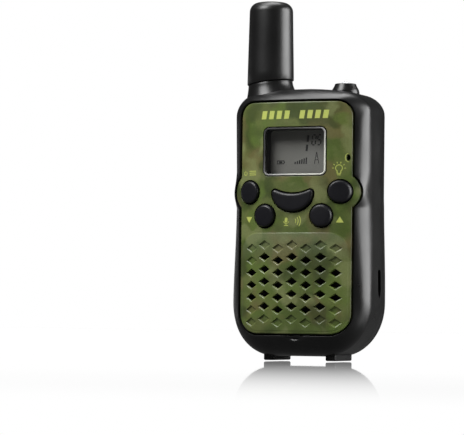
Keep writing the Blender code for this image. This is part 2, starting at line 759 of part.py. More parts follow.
def make_belt_clip():
    depth, height = CLIP_PIVOT
    base = prism("clip_bracket", [rounded_box(-11.0, 11.0, 87.0, 104.0, 2.0)], BODY_UPPER_BACK + GAP, 32.2,
                 "front")
    lug = [(31.5, height - 3.4), (31.5, height + 3.4)]
    lug += arc((depth, height), 2.5, 80, -80, 8)
    for number, inner in ((1, -10.4), (2, 8.4)):
        ear = prism(f"clip_lug_{number}", [lug], inner, inner + 2.0, "side")
        join(base, ear)
    cut(base, cylinder("bracket_pin_hole", (0, depth, height), PIN_RADIUS + 0.3, 40.0, "x", 16))
    finish(shown(base), "clip_bracket", "housing")
    profile = [(39.8, 105.5), (39.0, 100.0), (37.8, 96.5)]
    profile += [(37.8, 84.0), (37.7, 76.0), (37.0, 70.5), (35.0, 67.2), (32.6, 66.2), (31.1, 66.8)]
    profile += [(31.0, 68.2), (32.2, 69.0), (34.2, 71.0), (35.3, 74.5), (35.7, 80.0), (35.7, 91.8)]
    profile += arc((depth, height), 2.3, -72, -250, 8)
    profile += [(35.8, 97.6), (37.2, 101.2), (38.1, 105.6)]
    arm = prism("clip_arm", [profile], -CLIP_HALF_WIDTH, CLIP_HALF_WIDTH, "side")
    slot = box("spring_slot", (-3.2, 30.0, height - 4.0), (3.2, depth + 2.3, height + 3.6))
    cut(arm, cylinder("arm_pin_hole", (0, depth, height), PIN_RADIUS + 0.3, 40.0, "x", 16), slot)
    finish(shown(arm), "clip_arm", "housing")
    pin = cylinder("clip_pin", (0, depth, height), PIN_RADIUS, 20.8, "x", 16)
    finish(shown(pin), "clip_pin", "steel")
    turns, per_turn, radius = 5, 10, 1.85
    spiral = []
    for step in range(turns * per_turn + 1):
        angle = math.tau * step / per_turn
        x = -2.4 + 4.8 * step / (turns * per_turn)
        spiral.append((x, depth + radius * math.cos(angle), height + radius * math.sin(angle)))
    finish(shown(wire("clip_spring", spiral, 0.25)), "clip_spring", "steel")


def make_feet():
    for name, side in (("foot_left", -1), ("foot_right", 1)):
        near, far = sorted((side * 11.2, side * 15.5))
        foot = prism(name, [rounded_box(near, far, 8.8, 27.9, 0.8, 3)], 0.0, BODY_BOTTOM + 2, "plan")
        cut(foot, body_block(name + "_seat", GAP, -3.0, BODY_BACK + 3))
        finish(shown(foot), name, "rubber")


def make_screws():
    for number, (x, z, _) in enumerate(housing_screws(), 1):
        head = [(0.0, -16.0), (1.0, -16.6), (1.0, -28.5), (2.0, -28.5), (2.0, -29.6), (0.0, -29.9)]
        screw = turned(f"housing_screw_{number}", head, (x, 0.0, z), "y", 16)
        finish(shown(screw), f"housing_screw_{number}", "steel")


def shade_parts():
    for obj in PARTS.objects:
        if not obj.modifiers or obj.modifiers[0].type == "SCREW":
            sharp_shading(obj)


def build():
    global PARTS, CUTTERS
    clear_scene()
    PARTS = make_collection("toy_walkie_talkie")
    CUTTERS = make_collection("cutters")
    make_front_housing()
    make_rear_housing()
    make_faceplate()
    make_display()
    make_keys()
    make_board()
    make_microphone()
    make_speaker()
    make_antenna()
    make_lamp()
    make_batteries()
    make_battery_cover()
    make_belt_clip()
    make_feet()
    make_screws()
    shade_parts()


build()
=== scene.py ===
"""Looks for the toy walkie talkie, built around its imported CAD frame.

Lengths here are millimetres and MM turns them into metres. A "depth" is measured backwards from the
middle of the faceplate's front, as in the CAD, and FRONT is where that point lies in the frame.
"""

import json
import math

import bmesh
import bpy
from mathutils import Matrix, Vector
from mathutils.geometry import delaunay_2d_cdt


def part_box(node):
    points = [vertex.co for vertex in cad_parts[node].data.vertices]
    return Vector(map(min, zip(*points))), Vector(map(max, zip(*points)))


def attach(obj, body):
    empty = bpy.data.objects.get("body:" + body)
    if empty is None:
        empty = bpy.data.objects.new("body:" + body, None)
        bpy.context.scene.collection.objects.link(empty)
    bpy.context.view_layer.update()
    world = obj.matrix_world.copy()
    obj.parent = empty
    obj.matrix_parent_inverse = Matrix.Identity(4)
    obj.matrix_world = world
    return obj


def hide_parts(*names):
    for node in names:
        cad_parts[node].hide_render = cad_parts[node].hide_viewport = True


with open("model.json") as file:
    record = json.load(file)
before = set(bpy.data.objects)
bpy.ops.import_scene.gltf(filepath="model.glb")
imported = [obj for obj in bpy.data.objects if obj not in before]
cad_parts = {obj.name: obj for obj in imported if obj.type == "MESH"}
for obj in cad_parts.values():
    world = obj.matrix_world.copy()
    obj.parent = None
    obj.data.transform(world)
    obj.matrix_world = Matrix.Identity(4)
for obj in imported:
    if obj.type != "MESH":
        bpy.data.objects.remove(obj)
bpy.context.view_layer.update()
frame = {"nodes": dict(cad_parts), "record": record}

MM = 0.001
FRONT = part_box("faceplate")[0].y


def box_mm(node):
    """A CAD node's lowest and highest corners as (x, depth, z) in millimetres."""
    low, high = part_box(node)
    return [(c.x / MM, (c.y - FRONT) / MM, c.z / MM) for c in (low, high)]


PLATE_LOW, PLATE_HIGH = box_mm("faceplate")
BODY_LOW, BODY_HIGH = box_mm("front_housing")

# Body outline, seen from the front
FLARE_HALF = BODY_HIGH[0]
SIDE_HALF = FLARE_HALF - 0.8
BODY_BOTTOM = BODY_LOW[2]
BODY_TOP = BODY_HIGH[2] - 0.25
TOP_RADIUS = 8.5
LOW_CORNER = (18.5, 21.5)
ARCH = 2.2
SEAM = BODY_HIGH[1]
SEAM_EDGE = 0.18
SHELL_WALL = 1.8
# Deeper than any piece, for a cutter that has to come out at the back
BEYOND = 40.0

# Faceplate
PLATE_THICKNESS = 1.6
PLATE_HALF = 23.9
PLATE_BOTTOM = PLATE_LOW[2]
PLATE_TOP = PLATE_HIGH[2]
PLATE_TOP_RADIUS = 6.0
PLATE_BOTTOM_RADIUS = 8.5
GROOVE = 0.7
BULGE_EDGE = 23.86
BULGE_DROP = 4.08
BULGE_POWER = 3.29
KEY_GAP = 0.38
KEY_SHRINK = 0.35
WINDOW_LOW, WINDOW_HIGH = (-13.2, 73.5), (14.2, 93.4)
# The raised speaker panel: half width, top, radius of its top corners, and how far it stands out
PANEL = (22.4, 50.6, 6.5)
PANEL_RISE = 0.14
SOUND_HOLE = (22.4, 80.8)
SOUND_HOLE_HALF = (0.8, 1.3)


def centre_of(node):
    low, high = box_mm(node)
    return [(a + b) / 2 for a, b in zip(low, high)]


OUTER_KEY = centre_of("light_key")
INNER_KEY = centre_of("up_key")
KEY_RADIUS = (box_mm("up_key")[1][2] - box_mm("up_key")[0][2]) / 2
EAR_RADIUS = PLATE_HIGH[0] - OUTER_KEY[0]


def spot(x, depth, z):
    """A point in the frame from millimetres."""
    return Vector((x * MM, FRONT + depth * MM, z * MM))


def ring_at(loop, depth):
    """An outline seen from the front, as points of the frame at one depth."""
    return [spot(x, depth, z) for x, z in loop]


# Outlines as lists of (u, v), all counter-clockwise

def arc(centre, radius, start, end, steps):
    points = []
    for step in range(steps + 1):
        angle = math.radians(start + (end - start) * step / steps)
        points.append((centre[0] + radius * math.cos(angle), centre[1] + radius * math.sin(angle)))
    return points


def circle(centre, radius, steps=56):
    return arc(centre, radius, 0, 360, steps)[:-1]


def rounded_box(left, right, bottom, top, radius, steps=8):
    corners = (
        ((right - radius, bottom + radius), -90),
        ((right - radius, top - radius), 0),
        ((left + radius, top - radius), 90),
        ((left + radius, bottom + radius), 180),
    )
    points = []
    for centre, start in corners:
        points += arc(centre, radius, start, start + 90, steps)
    return points


def mirrored(right_side):
    return right_side + [(-x, v) for x, v in reversed(right_side)]


def bulge(x):
    return BULGE_DROP * (abs(x) / BULGE_EDGE) ** BULGE_POWER


def oval_arc(centre, halves, start, end, steps):
    return [(centre[0] + halves[0] * u, centre[1] + halves[1] * v)
            for u, v in arc((0.0, 0.0), 1.0, start, end, steps)]


def arch_drop(x, z):
    share = min(max((z - 94.0) / (BODY_TOP - 94.0), 0.0), 1.0)
    return ARCH * (x / 24.0) ** 2 * share


def body_outline(grow=0.0):
    across, up = LOW_CORNER
    low_centre = (FLARE_HALF - across, BODY_BOTTOM + up)
    high_centre = (SIDE_HALF - TOP_RADIUS, BODY_TOP - TOP_RADIUS)
    right = [(low_centre[0] + (across + grow) * x, low_centre[1] + (up + grow) * z)
             for x, z in arc((0.0, 0.0), 1.0, -90, 0, 26)]
    for step in range(1, 12):
        share = step / 12
        blend = share * share * (3 - 2 * share)
        right.append((FLARE_HALF + grow + (SIDE_HALF - FLARE_HALF) * blend, 26.0 + 40.0 * share))
    right += [(SIDE_HALF + grow, 80.0), (SIDE_HALF + grow, 92.0)]
    right += arc(high_centre, TOP_RADIUS + grow, 0, 90, 16)
    right += [(x, BODY_TOP + grow) for x in (16.0, 12.0, 8.0, 4.0)]
    return mirrored([(x, z - arch_drop(x, z)) for x, z in right])


def plate_outline(grow=0.0):
    half = PLATE_HALF + grow
    ear = EAR_RADIUS + grow
    reach = math.degrees(math.acos((half - OUTER_KEY[0]) / ear))
    low = (PLATE_HALF - PLATE_BOTTOM_RADIUS, PLATE_BOTTOM + PLATE_BOTTOM_RADIUS)
    high = (PLATE_HALF - PLATE_TOP_RADIUS, PLATE_TOP - PLATE_TOP_RADIUS)
    right = arc(low, PLATE_BOTTOM_RADIUS + grow, -90, 0, 16)
    right += arc((OUTER_KEY[0], OUTER_KEY[2]), ear, -reach, reach, 28)
    right += arc(high, PLATE_TOP_RADIUS + grow, 0, 90, 12)
    return mirrored(right)


def talk_key_outline(shrink):
    """A smile: round below, two round shoulders, hollow above."""
    half, middle, drop = 9.3, 66.8, 7.9
    low = arc((0.0, 0.0), 1.0, -90, -5, 17)
    right = [((half - shrink) * x, middle + (drop - shrink) * z) for x, z in low]
    right += arc((half - 1.8, middle), 1.8 - shrink, 0, 98, 8)
    right += [(x, 67.0 - shrink + 1.55 * (x / 7.1) ** 2) for x in (6.0, 4.9, 3.7, 2.5, 1.25)]
    return mirrored(right)


def diamond(x, z, half_width, half_height):
    return [(x + half_width, z), (x, z + half_height), (x - half_width, z), (x, z - half_height)]


def offset_loop(loop, amount):
    """The loop moved outwards by an amount, or inwards where it is negative."""
    result = []
    count = len(loop)
    for index, point in enumerate(loop):
        before = Vector(loop[index - 1])
        here = Vector(point)
        after = Vector(loop[(index + 1) % count])
        first = (here - before).normalized()
        second = (after - here).normalized()
        normal_a = Vector((first.y, -first.x))
        normal_b = Vector((second.y, -second.x))
        lean = max(1.0 + normal_a.dot(normal_b), 0.35)
        moved = here + (normal_a + normal_b) * (amount / lean)
        result.append((moved.x, moved.y))
    return result


def resample(loop, count):
    """The loop as evenly spaced points, starting at its first one."""
    closed = loop + [loop[0]]
    lengths = [0.0]
    for a, b in zip(closed, closed[1:]):
        lengths.append(lengths[-1] + math.dist(a, b))
    total = lengths[-1]
    points = []
    segment = 0
    for index in range(count):
        target = total * index / count
        while lengths[segment + 1] < target:
            segment += 1
        span = lengths[segment + 1] - lengths[segment]
        share = (target - lengths[segment]) / span if span else 0.0
        a, b = closed[segment], closed[segment + 1]
        points.append((a[0] + (b[0] - a[0]) * share, a[1] + (b[1] - a[1]) * share))
    return points


def cast(loop, centre, directions):
    """Where rays from a centre, in the given directions, cross a loop around it."""
    hits = []
    for direction in directions:
        best = None
        for a, b in zip(loop, loop[1:] + loop[:1]):
            edge = (b[0] - a[0], b[1] - a[1])
            cross = direction[0] * edge[1] - direction[1] * edge[0]
            if abs(cross) < 1e-12:
                continue
            to_a = (a[0] - centre[0], a[1] - centre[1])
            along = (to_a[0] * edge[1] - to_a[1] * edge[0]) / cross
            share = (to_a[0] * direction[1] - to_a[1] * direction[0]) / cross
            if along > 0 and -1e-9 <= share <= 1 + 1e-9 and (best is None or along < best):
                best = along
        hits.append((centre[0] + direction[0] * best, centre[1] + direction[1] * best))
    return hits


def inside(point, loop):
    x, y = point
    odd = False
    for a, b in zip(loop, loop[1:] + loop[:1]):
        if (a[1] > y) != (b[1] > y) and x < (b[0] - a[0]) * (y - a[1]) / (b[1] - a[1]) + a[0]:
            odd = not odd
    return odd


def reach_of(loop):
    """A loop's lowest and highest u, then its lowest and highest v."""
    across, up = [p[0] for p in loop], [p[1] for p in loop]
    return min(across), max(across), min(up), max(up)


# Mesh building

def strip(mesh, ring_a, ring_b):
    """Quads between two closed rings of equally many points."""
    first = [mesh.verts.new(p) for p in ring_a]
    second = [mesh.verts.new(p) for p in ring_b]
    count = len(first)
    for index in range(count):
        after = (index + 1) % count
        mesh.faces.new((first[index], first[after], second[after], second[index]))


def loft(mesh, rings):
    for ring_a, ring_b in zip(rings, rings[1:]):
        strip(mesh, ring_a, ring_b)


def walls(mesh, rings, to_space):
    """Strips through (outline, w) pairs."""
    loft(mesh, [[to_space(u, v, w) for u, v in ring] for ring, w in rings])


def fill(mesh, outline, holes, to_space, spacing=None):
    """Triangles across an outline with holes, with extra points inside it where it has to bend."""
    spans = [(hole, reach_of(hole)) for hole in holes]

    def in_hole(point):
        return any(left < point[0] < right and low < point[1] < high and inside(point, hole)
                   for hole, (left, right, low, high) in spans)

    points = []
    edges = []
    for loop in [outline] + holes:
        start = len(points)
        points += [Vector(p) for p in loop]
        edges += [(start + i, start + (i + 1) % len(loop)) for i in range(len(loop))]
    if spacing:
        border = [tuple(p) for p in points]
        left, right, low, high = reach_of(outline)
        columns = int((right - left) / spacing)
        rows = int((high - low) / spacing)
        near = (spacing * 0.45) ** 2
        for column in range(1, columns):
            for row in range(1, rows):
                point = (left + (right - left) * column / columns, low + (high - low) * row / rows)
                if not inside(point, outline) or in_hole(point):
                    continue
                if min((p[0] - point[0]) ** 2 + (p[1] - point[1]) ** 2 for p in border) > near:
                    points.append(Vector(point))
    verts, _, faces, _, _, _ = delaunay_2d_cdt(points, edges, [], 0, 1e-7)
    made = {}
    for face in faces:
        middle = (sum(verts[i].x for i in face) / len(face), sum(verts[i].y for i in face) / len(face))
        if not inside(middle, outline) or in_hole(middle):
            continue
        for i in face:
            if i not in made:
                made[i] = mesh.verts.new(to_space(verts[i].x, verts[i].y))
        mesh.faces.new([made[i] for i in face])


def finish_mesh(mesh, name, sharp=38.0, weighted=True):
    bmesh.ops.remove_doubles(mesh, verts=mesh.verts, dist=2e-6)
    bmesh.ops.dissolve_degenerate(mesh, dist=1e-7, edges=mesh.edges)
    bmesh.ops.recalc_face_normals(mesh, faces=mesh.faces)
    data = bpy.data.meshes.new(name)
    mesh.to_mesh(data)
    mesh.free()
    data.shade_smooth()
    data.set_sharp_from_angle(angle=math.radians(sharp))
    obj = bpy.data.objects.new(name, data)
    bpy.context.scene.collection.objects.link(obj)
    if weighted:
        modifier = obj.modifiers.new("even_normals", "WEIGHTED_NORMAL")
        modifier.keep_sharp = True
    return obj


def edge_rings(loop, side, bevel, steps=3):
    """(loop, depth) pairs rounding from a flat face to a wall; side is 1 for a hole, -1 for a rim."""
    rings = []
    for step in range(steps + 1):
        angle = math.pi / 2 * step / steps
        grow = side * bevel * (1 - math.sin(angle))
        rings.append((offset_loop(loop, grow) if grow else list(loop), bevel * (1 - math.cos(angle))))
    return rings


def slab(name, outline, holes, near, far, bevel, to_space, spacing=None, steps=3):
    """A solid between two flat or bent faces, rounded at every rim. to_space takes u, v, w."""
    mesh = bmesh.new()
    rims = [(outline, -1)] + [(hole, 1) for hole in holes]
    tops = []
    for loop, side in rims:
        rings = edge_rings(loop, side, bevel, steps) if bevel else [(loop, 0.0)]
        tops.append(rings[0][0])
        stack = [(ring, near + depth) for ring, depth in rings]
        stack += [(ring, far - depth) for ring, depth in reversed(rings)]
        walls(mesh, stack, to_space)
    for w in (near, far):
        fill(mesh, tops[0], tops[1:], lambda u, v, w=w: to_space(u, v, w), spacing)
    return finish_mesh(mesh, name)


def lathe(name, profile, centre, steps=72, tilt=0.0, axis="z"):
    """A turned piece. The profile holds radius, height, and optionally a share of the tilt and a shift."""
    mesh = bmesh.new()
    rings = []
    for entry in profile:
        radius, height = entry[0], entry[1]
        share = entry[2] if len(entry) > 2 else 0.0
        shift = entry[3] if len(entry) > 3 else 0.0
        ring = []
        for step in range(steps):
            angle = math.tau * step / steps
            across, along = radius * math.cos(angle), radius * math.sin(angle)
            lift = height + share * tilt * across
            if axis == "z":
                ring.append(spot(centre[0] + across + shift, centre[1] + along, lift))
            else:
                ring.append(spot(centre[0] + across, lift, centre[1] + along))
        rings.append(ring)
    loft(mesh, rings)
    return finish_mesh(mesh, name, weighted=False)


def subtract(obj, cutter):
    """Cut one mesh from another, apply it and drop the cutter."""
    modifier = obj.modifiers.new("cut", "BOOLEAN")
    modifier.operation = "DIFFERENCE"
    modifier.solver = "EXACT"
    modifier.object = cutter
    bpy.context.view_layer.update()
    graph = bpy.context.evaluated_depsgraph_get()
    data = bpy.data.meshes.new_from_object(obj.evaluated_get(graph))
    obj.modifiers.clear()
    obj.data = data
    data.shade_smooth()
    data.set_sharp_from_angle(angle=math.radians(38))
    bpy.data.objects.remove(cutter, do_unlink=True)
    return obj


# Where an outline's u, v and its depth w lie: from the front, on the bulge, from the side, from above

def flat_space(u, v, w):
    return spot(u, w, v)


def bulge_space(u, v, w):
    return spot(u, bulge(u) + w, v)


def side_space(u, v, w):
    return spot(w, u, v)


def plan_space(u, v, w):
    return spot(u, v, w)


# Materials

def add(tree, kind, **settings):
    node = tree.nodes.new(kind)
    for key, value in settings.items():
        if key.startswith("in_"):
            node.inputs[key[3:].replace("_", " ")].default_value = value
        else:
            setattr(node, key, value)
    return node


def node_material(name):
    """A new material, its node tree, its shader and its coordinates in millimetres."""
    surface = bpy.data.materials.new(name)
    surface.use_nodes = True
    tree = surface.node_tree
    source = add(tree, "ShaderNodeTexCoord")
    mapping = add(tree, "ShaderNodeMapping", in_Scale=(1 / MM, 1 / MM, 1 / MM))
    tree.links.new(source.outputs["Object"], mapping.inputs["Vector"])
    return surface, tree, tree.nodes["Principled BSDF"], mapping.outputs["Vector"]


def noise(tree, vector, scale, detail=3.0, offset=(0, 0, 0)):
    mapping = add(tree, "ShaderNodeMapping", in_Location=offset)
    tree.links.new(vector, mapping.inputs["Vector"])
    node = add(tree, "ShaderNodeTexNoise", in_Scale=scale, in_Detail=detail)
    tree.links.new(mapping.outputs["Vector"], node.inputs["Vector"])
    return node.outputs["Fac"]


def ramp(tree, factor, stops, interpolation="LINEAR"):
    node = add(tree, "ShaderNodeValToRGB")
    node.color_ramp.interpolation = interpolation
    elements = node.color_ramp.elements
    while len(elements) < len(stops):
        elements.new(0.5)
    for element, (position, colour) in zip(elements, stops):
        element.position = position
        element.color = (*colour, 1.0) if len(colour) == 3 else colour
    tree.links.new(factor, node.inputs["Fac"])
    return node.outputs["Color"]


def grey(value):
    return (value, value, value)


def spread(tree, factor, low, high):
    """From one colour or level to another over the middle of a noise."""
    low, high = [grey(value) if isinstance(value, float) else value for value in (low, high)]
    return ramp(tree, factor, [(0.3, low), (0.7, high)])


def paint(tree, shader, tone, gloss):
    tree.links.new(tone, shader.inputs["Base Color"])
    tree.links.new(gloss, shader.inputs["Roughness"])


def emboss(tree, shader, height, strength, distance):
    relief = add(tree, "ShaderNodeBump", in_Strength=strength, in_Distance=distance)
    tree.links.new(height, relief.inputs["Height"])
    tree.links.new(relief.outputs["Normal"], shader.inputs["Normal"])


def axes(tree, vector):
    parts = add(tree, "ShaderNodeSeparateXYZ")
    tree.links.new(vector, parts.inputs["Vector"])
    return parts.outputs


def share_along(tree, value, start, end, most=1.0):
    """Rises from 0 to its most as a value goes from start to end."""
    node = add(tree, "ShaderNodeMapRange", in_From_Min=start, in_From_Max=end, in_To_Max=most)
    tree.links.new(value, node.inputs["Value"])
    return node


def moulded(name, dark, light, roughness, grain_mm, bump, specular=0.5):
    """Moulded plastic or rubber: fine spark-eroded grain, with slow changes in tone and gloss."""
    surface, tree, shader, vector = node_material(name)
    cloud = noise(tree, vector, 0.08, 4.0)
    grain = noise(tree, vector, 1.0 / grain_mm, 2.0, (3, 1, 7))
    gloss = spread(tree, cloud, roughness - 0.04, roughness + 0.05)
    paint(tree, shader, spread(tree, grain, dark, light), gloss)
    emboss(tree, shader, grain, bump, 0.06 * MM)
    shader.inputs["Specular IOR Level"].default_value = specular
    return surface


def metal(name, colour, roughness):
    surface, tree, shader, vector = node_material(name)
    haze = noise(tree, vector, 0.9, 5.0)
    tone = spread(tree, haze, tuple(c * 0.8 for c in colour), colour)
    paint(tree, shader, tone, spread(tree, haze, roughness + 0.08, roughness))
    shader.inputs["Metallic"].default_value = 1.0
    return surface


def mix(tree, factor, below, above):
    node = add(tree, "ShaderNodeMix", data_type="RGBA")
    tree.links.new(factor, node.inputs["Factor"])
    tree.links.new(below, node.inputs["A"])
    if isinstance(above, tuple):
        node.inputs["B"].default_value = (*above, 1.0)
    else:
        tree.links.new(above, node.inputs["B"])
    return node.outputs["Result"]


# Blotches laid over each other, from below: colour, size, place, and how much of the plate each covers
CAMOUFLAGE = (
    ((0.153, 0.185, 0.054), 0.055, (11.0, 0.0, 4.0), 0.50),
    ((0.074, 0.115, 0.020), 0.060, (2.0, 0.0, 37.0), 0.52),
    ((0.163, 0.135, 0.050), 0.075, (51.0, 0.0, 21.0), 0.56),
    ((0.042, 0.062, 0.013), 0.070, (33.0, 0.0, 8.0), 0.56),
    ((0.116, 0.175, 0.032), 0.085, (71.0, 0.0, 44.0), 0.58),
    ((0.219, 0.245, 0.094), 0.095, (90.0, 0.0, 62.0), 0.62),
)
BLOTCH_EDGE = 0.045
BLOTCH_COVER = 0.72


def math_node(tree, operation, first, second=None):
    node = add(tree, "ShaderNodeMath", operation=operation)
    for socket, value in zip(node.inputs, (first, second)):
        if isinstance(value, (int, float)):
            socket.default_value = value
        elif value is not None:
            tree.links.new(value, socket)
    return node.outputs["Value"]


def painted_panel_highlight(tree, vector):
    """Where a painted highlight lightens the speaker panel's film: from its rounded top edge, fading
    downwards.
    """
    half, top, radius = PANEL
    place = axes(tree, vector)
    squares = []
    for distance, limit in ((math_node(tree, "ABSOLUTE", place["X"]), half), (place["Z"], top)):
        past = math_node(tree, "MAXIMUM", math_node(tree, "SUBTRACT", distance, limit - radius), 0.0)
        squares.append(math_node(tree, "MULTIPLY", past, past))
    within = math_node(tree, "LESS_THAN", math_node(tree, "ADD", *squares), radius ** 2)
    fade = share_along(tree, place["Z"], top - 11.0, top - 1.0, 0.42)
    return math_node(tree, "MULTIPLY", within, fade.outputs["Result"])


# Camouflage film, with a painted highlight at the top of the speaker panel
def camouflage():
    surface, tree, shader, vector = node_material("camouflage_film_with_painted_highlight")
    warp = add(tree, "ShaderNodeTexNoise", in_Scale=0.16, in_Detail=3.0)
    tree.links.new(vector, warp.inputs["Vector"])
    shift = add(tree, "ShaderNodeVectorMath", operation="MULTIPLY_ADD")
    shift.inputs[1].default_value = (7.0, 0.0, 7.0)
    tree.links.new(warp.outputs["Color"], shift.inputs[0])
    tree.links.new(vector, shift.inputs[2])
    bent = shift.outputs["Vector"]
    ground = [(0.35, (0.084, 0.108, 0.025)), (0.65, (0.121, 0.145, 0.041))]
    base = ramp(tree, noise(tree, vector, 0.05, 2.0), ground)
    for colour, size, place, cover in CAMOUFLAGE:
        blotch = noise(tree, bent, size, 1.5, place)
        edge = [(cover - BLOTCH_EDGE, grey(0.0)), (cover + BLOTCH_EDGE, grey(BLOTCH_COVER))]
        mask = ramp(tree, blotch, edge)
        base = mix(tree, mask, base, colour)
    # Painted highlight: the top of the speaker panel is mixed towards a paler green
    base = mix(tree, painted_panel_highlight(tree, vector), base, (0.215, 0.255, 0.135))
    fibre = spread(tree, noise(tree, vector, 2.2, 4.0), 0.86, 1.12)
    shade = add(tree, "ShaderNodeMix", data_type="RGBA", blend_type="MULTIPLY", in_Factor=1.0)
    tree.links.new(base, shade.inputs["A"])
    tree.links.new(fibre, shade.inputs["B"])
    paint(tree, shader, shade.outputs["Result"], spread(tree, noise(tree, vector, 0.3, 3.0), 0.36, 0.46))
    shader.inputs["Coat Weight"].default_value = 0.12
    shader.inputs["Coat Roughness"].default_value = 0.18
    emboss(tree, shader, noise(tree, vector, 3.0, 2.0), 0.12, 0.04 * MM)
    return surface


def clear_plastic(name, tint, roughness, alpha):
    surface, tree, shader, vector = node_material(name)
    smears = [(0.4, grey(roughness)), (0.8, grey(roughness + 0.05))]
    gloss = ramp(tree, noise(tree, vector, 0.2, 4.0), smears)
    tree.links.new(gloss, shader.inputs["Roughness"])
    shader.inputs["Base Color"].default_value = (*tint, 1.0)
    shader.inputs["IOR"].default_value = 1.49
    shader.inputs["Alpha"].default_value = alpha
    return surface


def lens_edge_painted_highlight():
    """The window's polished edge, with painted light on it: a painted highlight below and on the right, dim
    elsewhere.
    """
    surface, tree, shader, vector = node_material("lens_edge_painted_highlight")
    along = add(tree, "ShaderNodeVectorMath", operation="DOT_PRODUCT")
    half, tall = [(high - low) / 2 for low, high in zip(WINDOW_LOW, WINDOW_HIGH)]
    along.inputs[1].default_value = (1 / half, 0.0, -1 / tall)
    tree.links.new(vector, along.inputs[0])
    middle = -(WINDOW_LOW[1] + WINDOW_HIGH[1]) / 2 / tall
    share = share_along(tree, along.outputs["Value"], middle - 2.0, middle + 2.0)
    # Painted light: dim towards the top left, a painted highlight towards the bottom right
    stops = [(0.30, grey(0.07)), (0.46, grey(0.16)), (0.53, grey(0.42)), (0.80, (0.88, 0.89, 0.80))]
    tone = ramp(tree, share.outputs["Result"], stops)
    paint(tree, shader, tone, spread(tree, noise(tree, vector, 1.5, 3.0), 0.10, 0.16))
    return surface


def display_film():
    """Unlit liquid crystal: neutral grey with faint slow changes in tone and a fine grain."""
    surface, tree, shader, vector = node_material("display_film")
    tone = spread(tree, noise(tree, vector, 0.06, 2.0), (0.300, 0.300, 0.271), (0.364, 0.364, 0.337))
    paint(tree, shader, tone, spread(tree, noise(tree, vector, 4.0, 2.0), 0.28, 0.36))
    return surface


def ink(name, colour):
    surface, tree, shader, vector = node_material(name)
    speckle = noise(tree, vector, 5.0, 3.0)
    tone = spread(tree, speckle, tuple(c * 0.82 for c in colour), colour)
    paint(tree, shader, tone, spread(tree, speckle, 0.42, 0.5))
    return surface


BLACK = moulded("black_housing", grey(0.0040), grey(0.0085), 0.31, 0.24, 0.22, 0.42)
SLEEVE_BLACK = moulded("antenna_black", grey(0.0035), grey(0.0075), 0.34, 0.28, 0.3)
KEY_BLACK = moulded("key_rubber", (0.0050, 0.0050, 0.0072), (0.0080, 0.0080, 0.0110), 0.38, 0.35, 0.2, 0.4)
FOOT_BLACK = moulded("foot_rubber", grey(0.0030), grey(0.0055), 0.50, 0.30, 0.2, 0.25)
INNER_BLACK = moulded("inner_black", grey(0.006), grey(0.010), 0.6, 0.5, 0.2)
CAMO_WITH_PAINTED_HIGHLIGHT = camouflage()
CLEAR = clear_plastic("clear_acrylic", (0.02, 0.02, 0.02), 0.03, 0.14)
LENS_EDGE_PAINTED_HIGHLIGHT = lens_edge_painted_highlight()
LAMP_LENS = clear_plastic("lamp_lens", (0.75, 0.77, 0.80), 0.05, 0.5)
DISPLAY = display_film()
PRINT_AND_PAINTED_HIGHLIGHT = ink("pale_print", (0.60, 0.67, 0.15))
SEGMENT = ink("display_segments", (0.045, 0.045, 0.048))
STEEL = metal("zinc_steel", (0.62, 0.62, 0.63), 0.3)
BRASS = metal("brass_wire", (0.75, 0.55, 0.25), 0.3)
TIN = metal("tin_plate", (0.70, 0.70, 0.68), 0.25)
BOARD = moulded("solder_mask", (0.01, 0.06, 0.025), (0.02, 0.11, 0.04), 0.4, 0.6, 0.3)
WHITE = moulded("white_plastic", (0.60, 0.60, 0.57), (0.70, 0.70, 0.67), 0.4, 0.4, 0.2)
CELL = moulded("cell_sleeve", (0.18, 0.05, 0.02), (0.28, 0.08, 0.03), 0.3, 0.9, 0.15)

SLOT_SURFACES = {
    "housing": BLACK,
    "camouflage": CAMO_WITH_PAINTED_HIGHLIGHT,
    "keys": KEY_BLACK,
    "antenna": SLEEVE_BLACK,
    "black_inner": INNER_BLACK,
    "window": CLEAR,
    "display": DISPLAY,
    "light_guide": WHITE,
    "board": BOARD,
    "tinned": TIN,
    "steel": STEEL,
    "brass": BRASS,
    "ferrite": INNER_BLACK,
    "paper": INNER_BLACK,
    "lamp": LAMP_LENS,
    "cell": CELL,
}


def dress(obj, surface, body, slot, *nodes):
    """Give a piece its material and body, and hide the CAD nodes that it stands for; slot is not used."""
    obj.data.materials.clear()
    obj.data.materials.append(surface)
    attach(obj, body)
    if nodes:
        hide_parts(*nodes)
    return obj


def dress_cad_nodes():
    """Every carried-over CAD node gets the procedural material of its slot."""
    for entry in frame["record"]["subparts"]:
        obj = frame["nodes"][entry["node"]]
        surface = SLOT_SURFACES[entry["material_slot"]]
        if obj.material_slots:
            obj.material_slots[0].material = surface
        else:
            obj.data.materials.append(surface)


# Housings

RING_POINTS = 460
FRONT_CORNER_DEPTH = 9.6
SIDE_CORNER_DEPTH = 14.5
FRONT_LINING = 14.5
REAR_LINING = 28.6
REAR_SEAM = SEAM + 0.2
REAR_CORNER_RADIUS = 8.0
UPPER_BACK = box_mm("clip_bracket")[0][1] - 0.3
BATTERY_BACK = box_mm("rear_housing")[1][1]
BAY_FLOOR = box_mm("battery_cell_1")[0][1] - 0.3
SLOT_DEPTH = 20.2
# The thumb recess: half sizes, place, depth, and how far it takes the lip back
NOTCH_HALF = (4.8, 2.4)
NOTCH_PLACE = (0.9, PLATE_BOTTOM - 0.8)
NOTCH_DEPTH = 2.0
NOTCH_LIP = 0.6


def lip_depth(x):
    """The housing's lip round the faceplate: just behind its front in the middle, proud at the sides."""
    return 0.86 * bulge(x) + 0.25


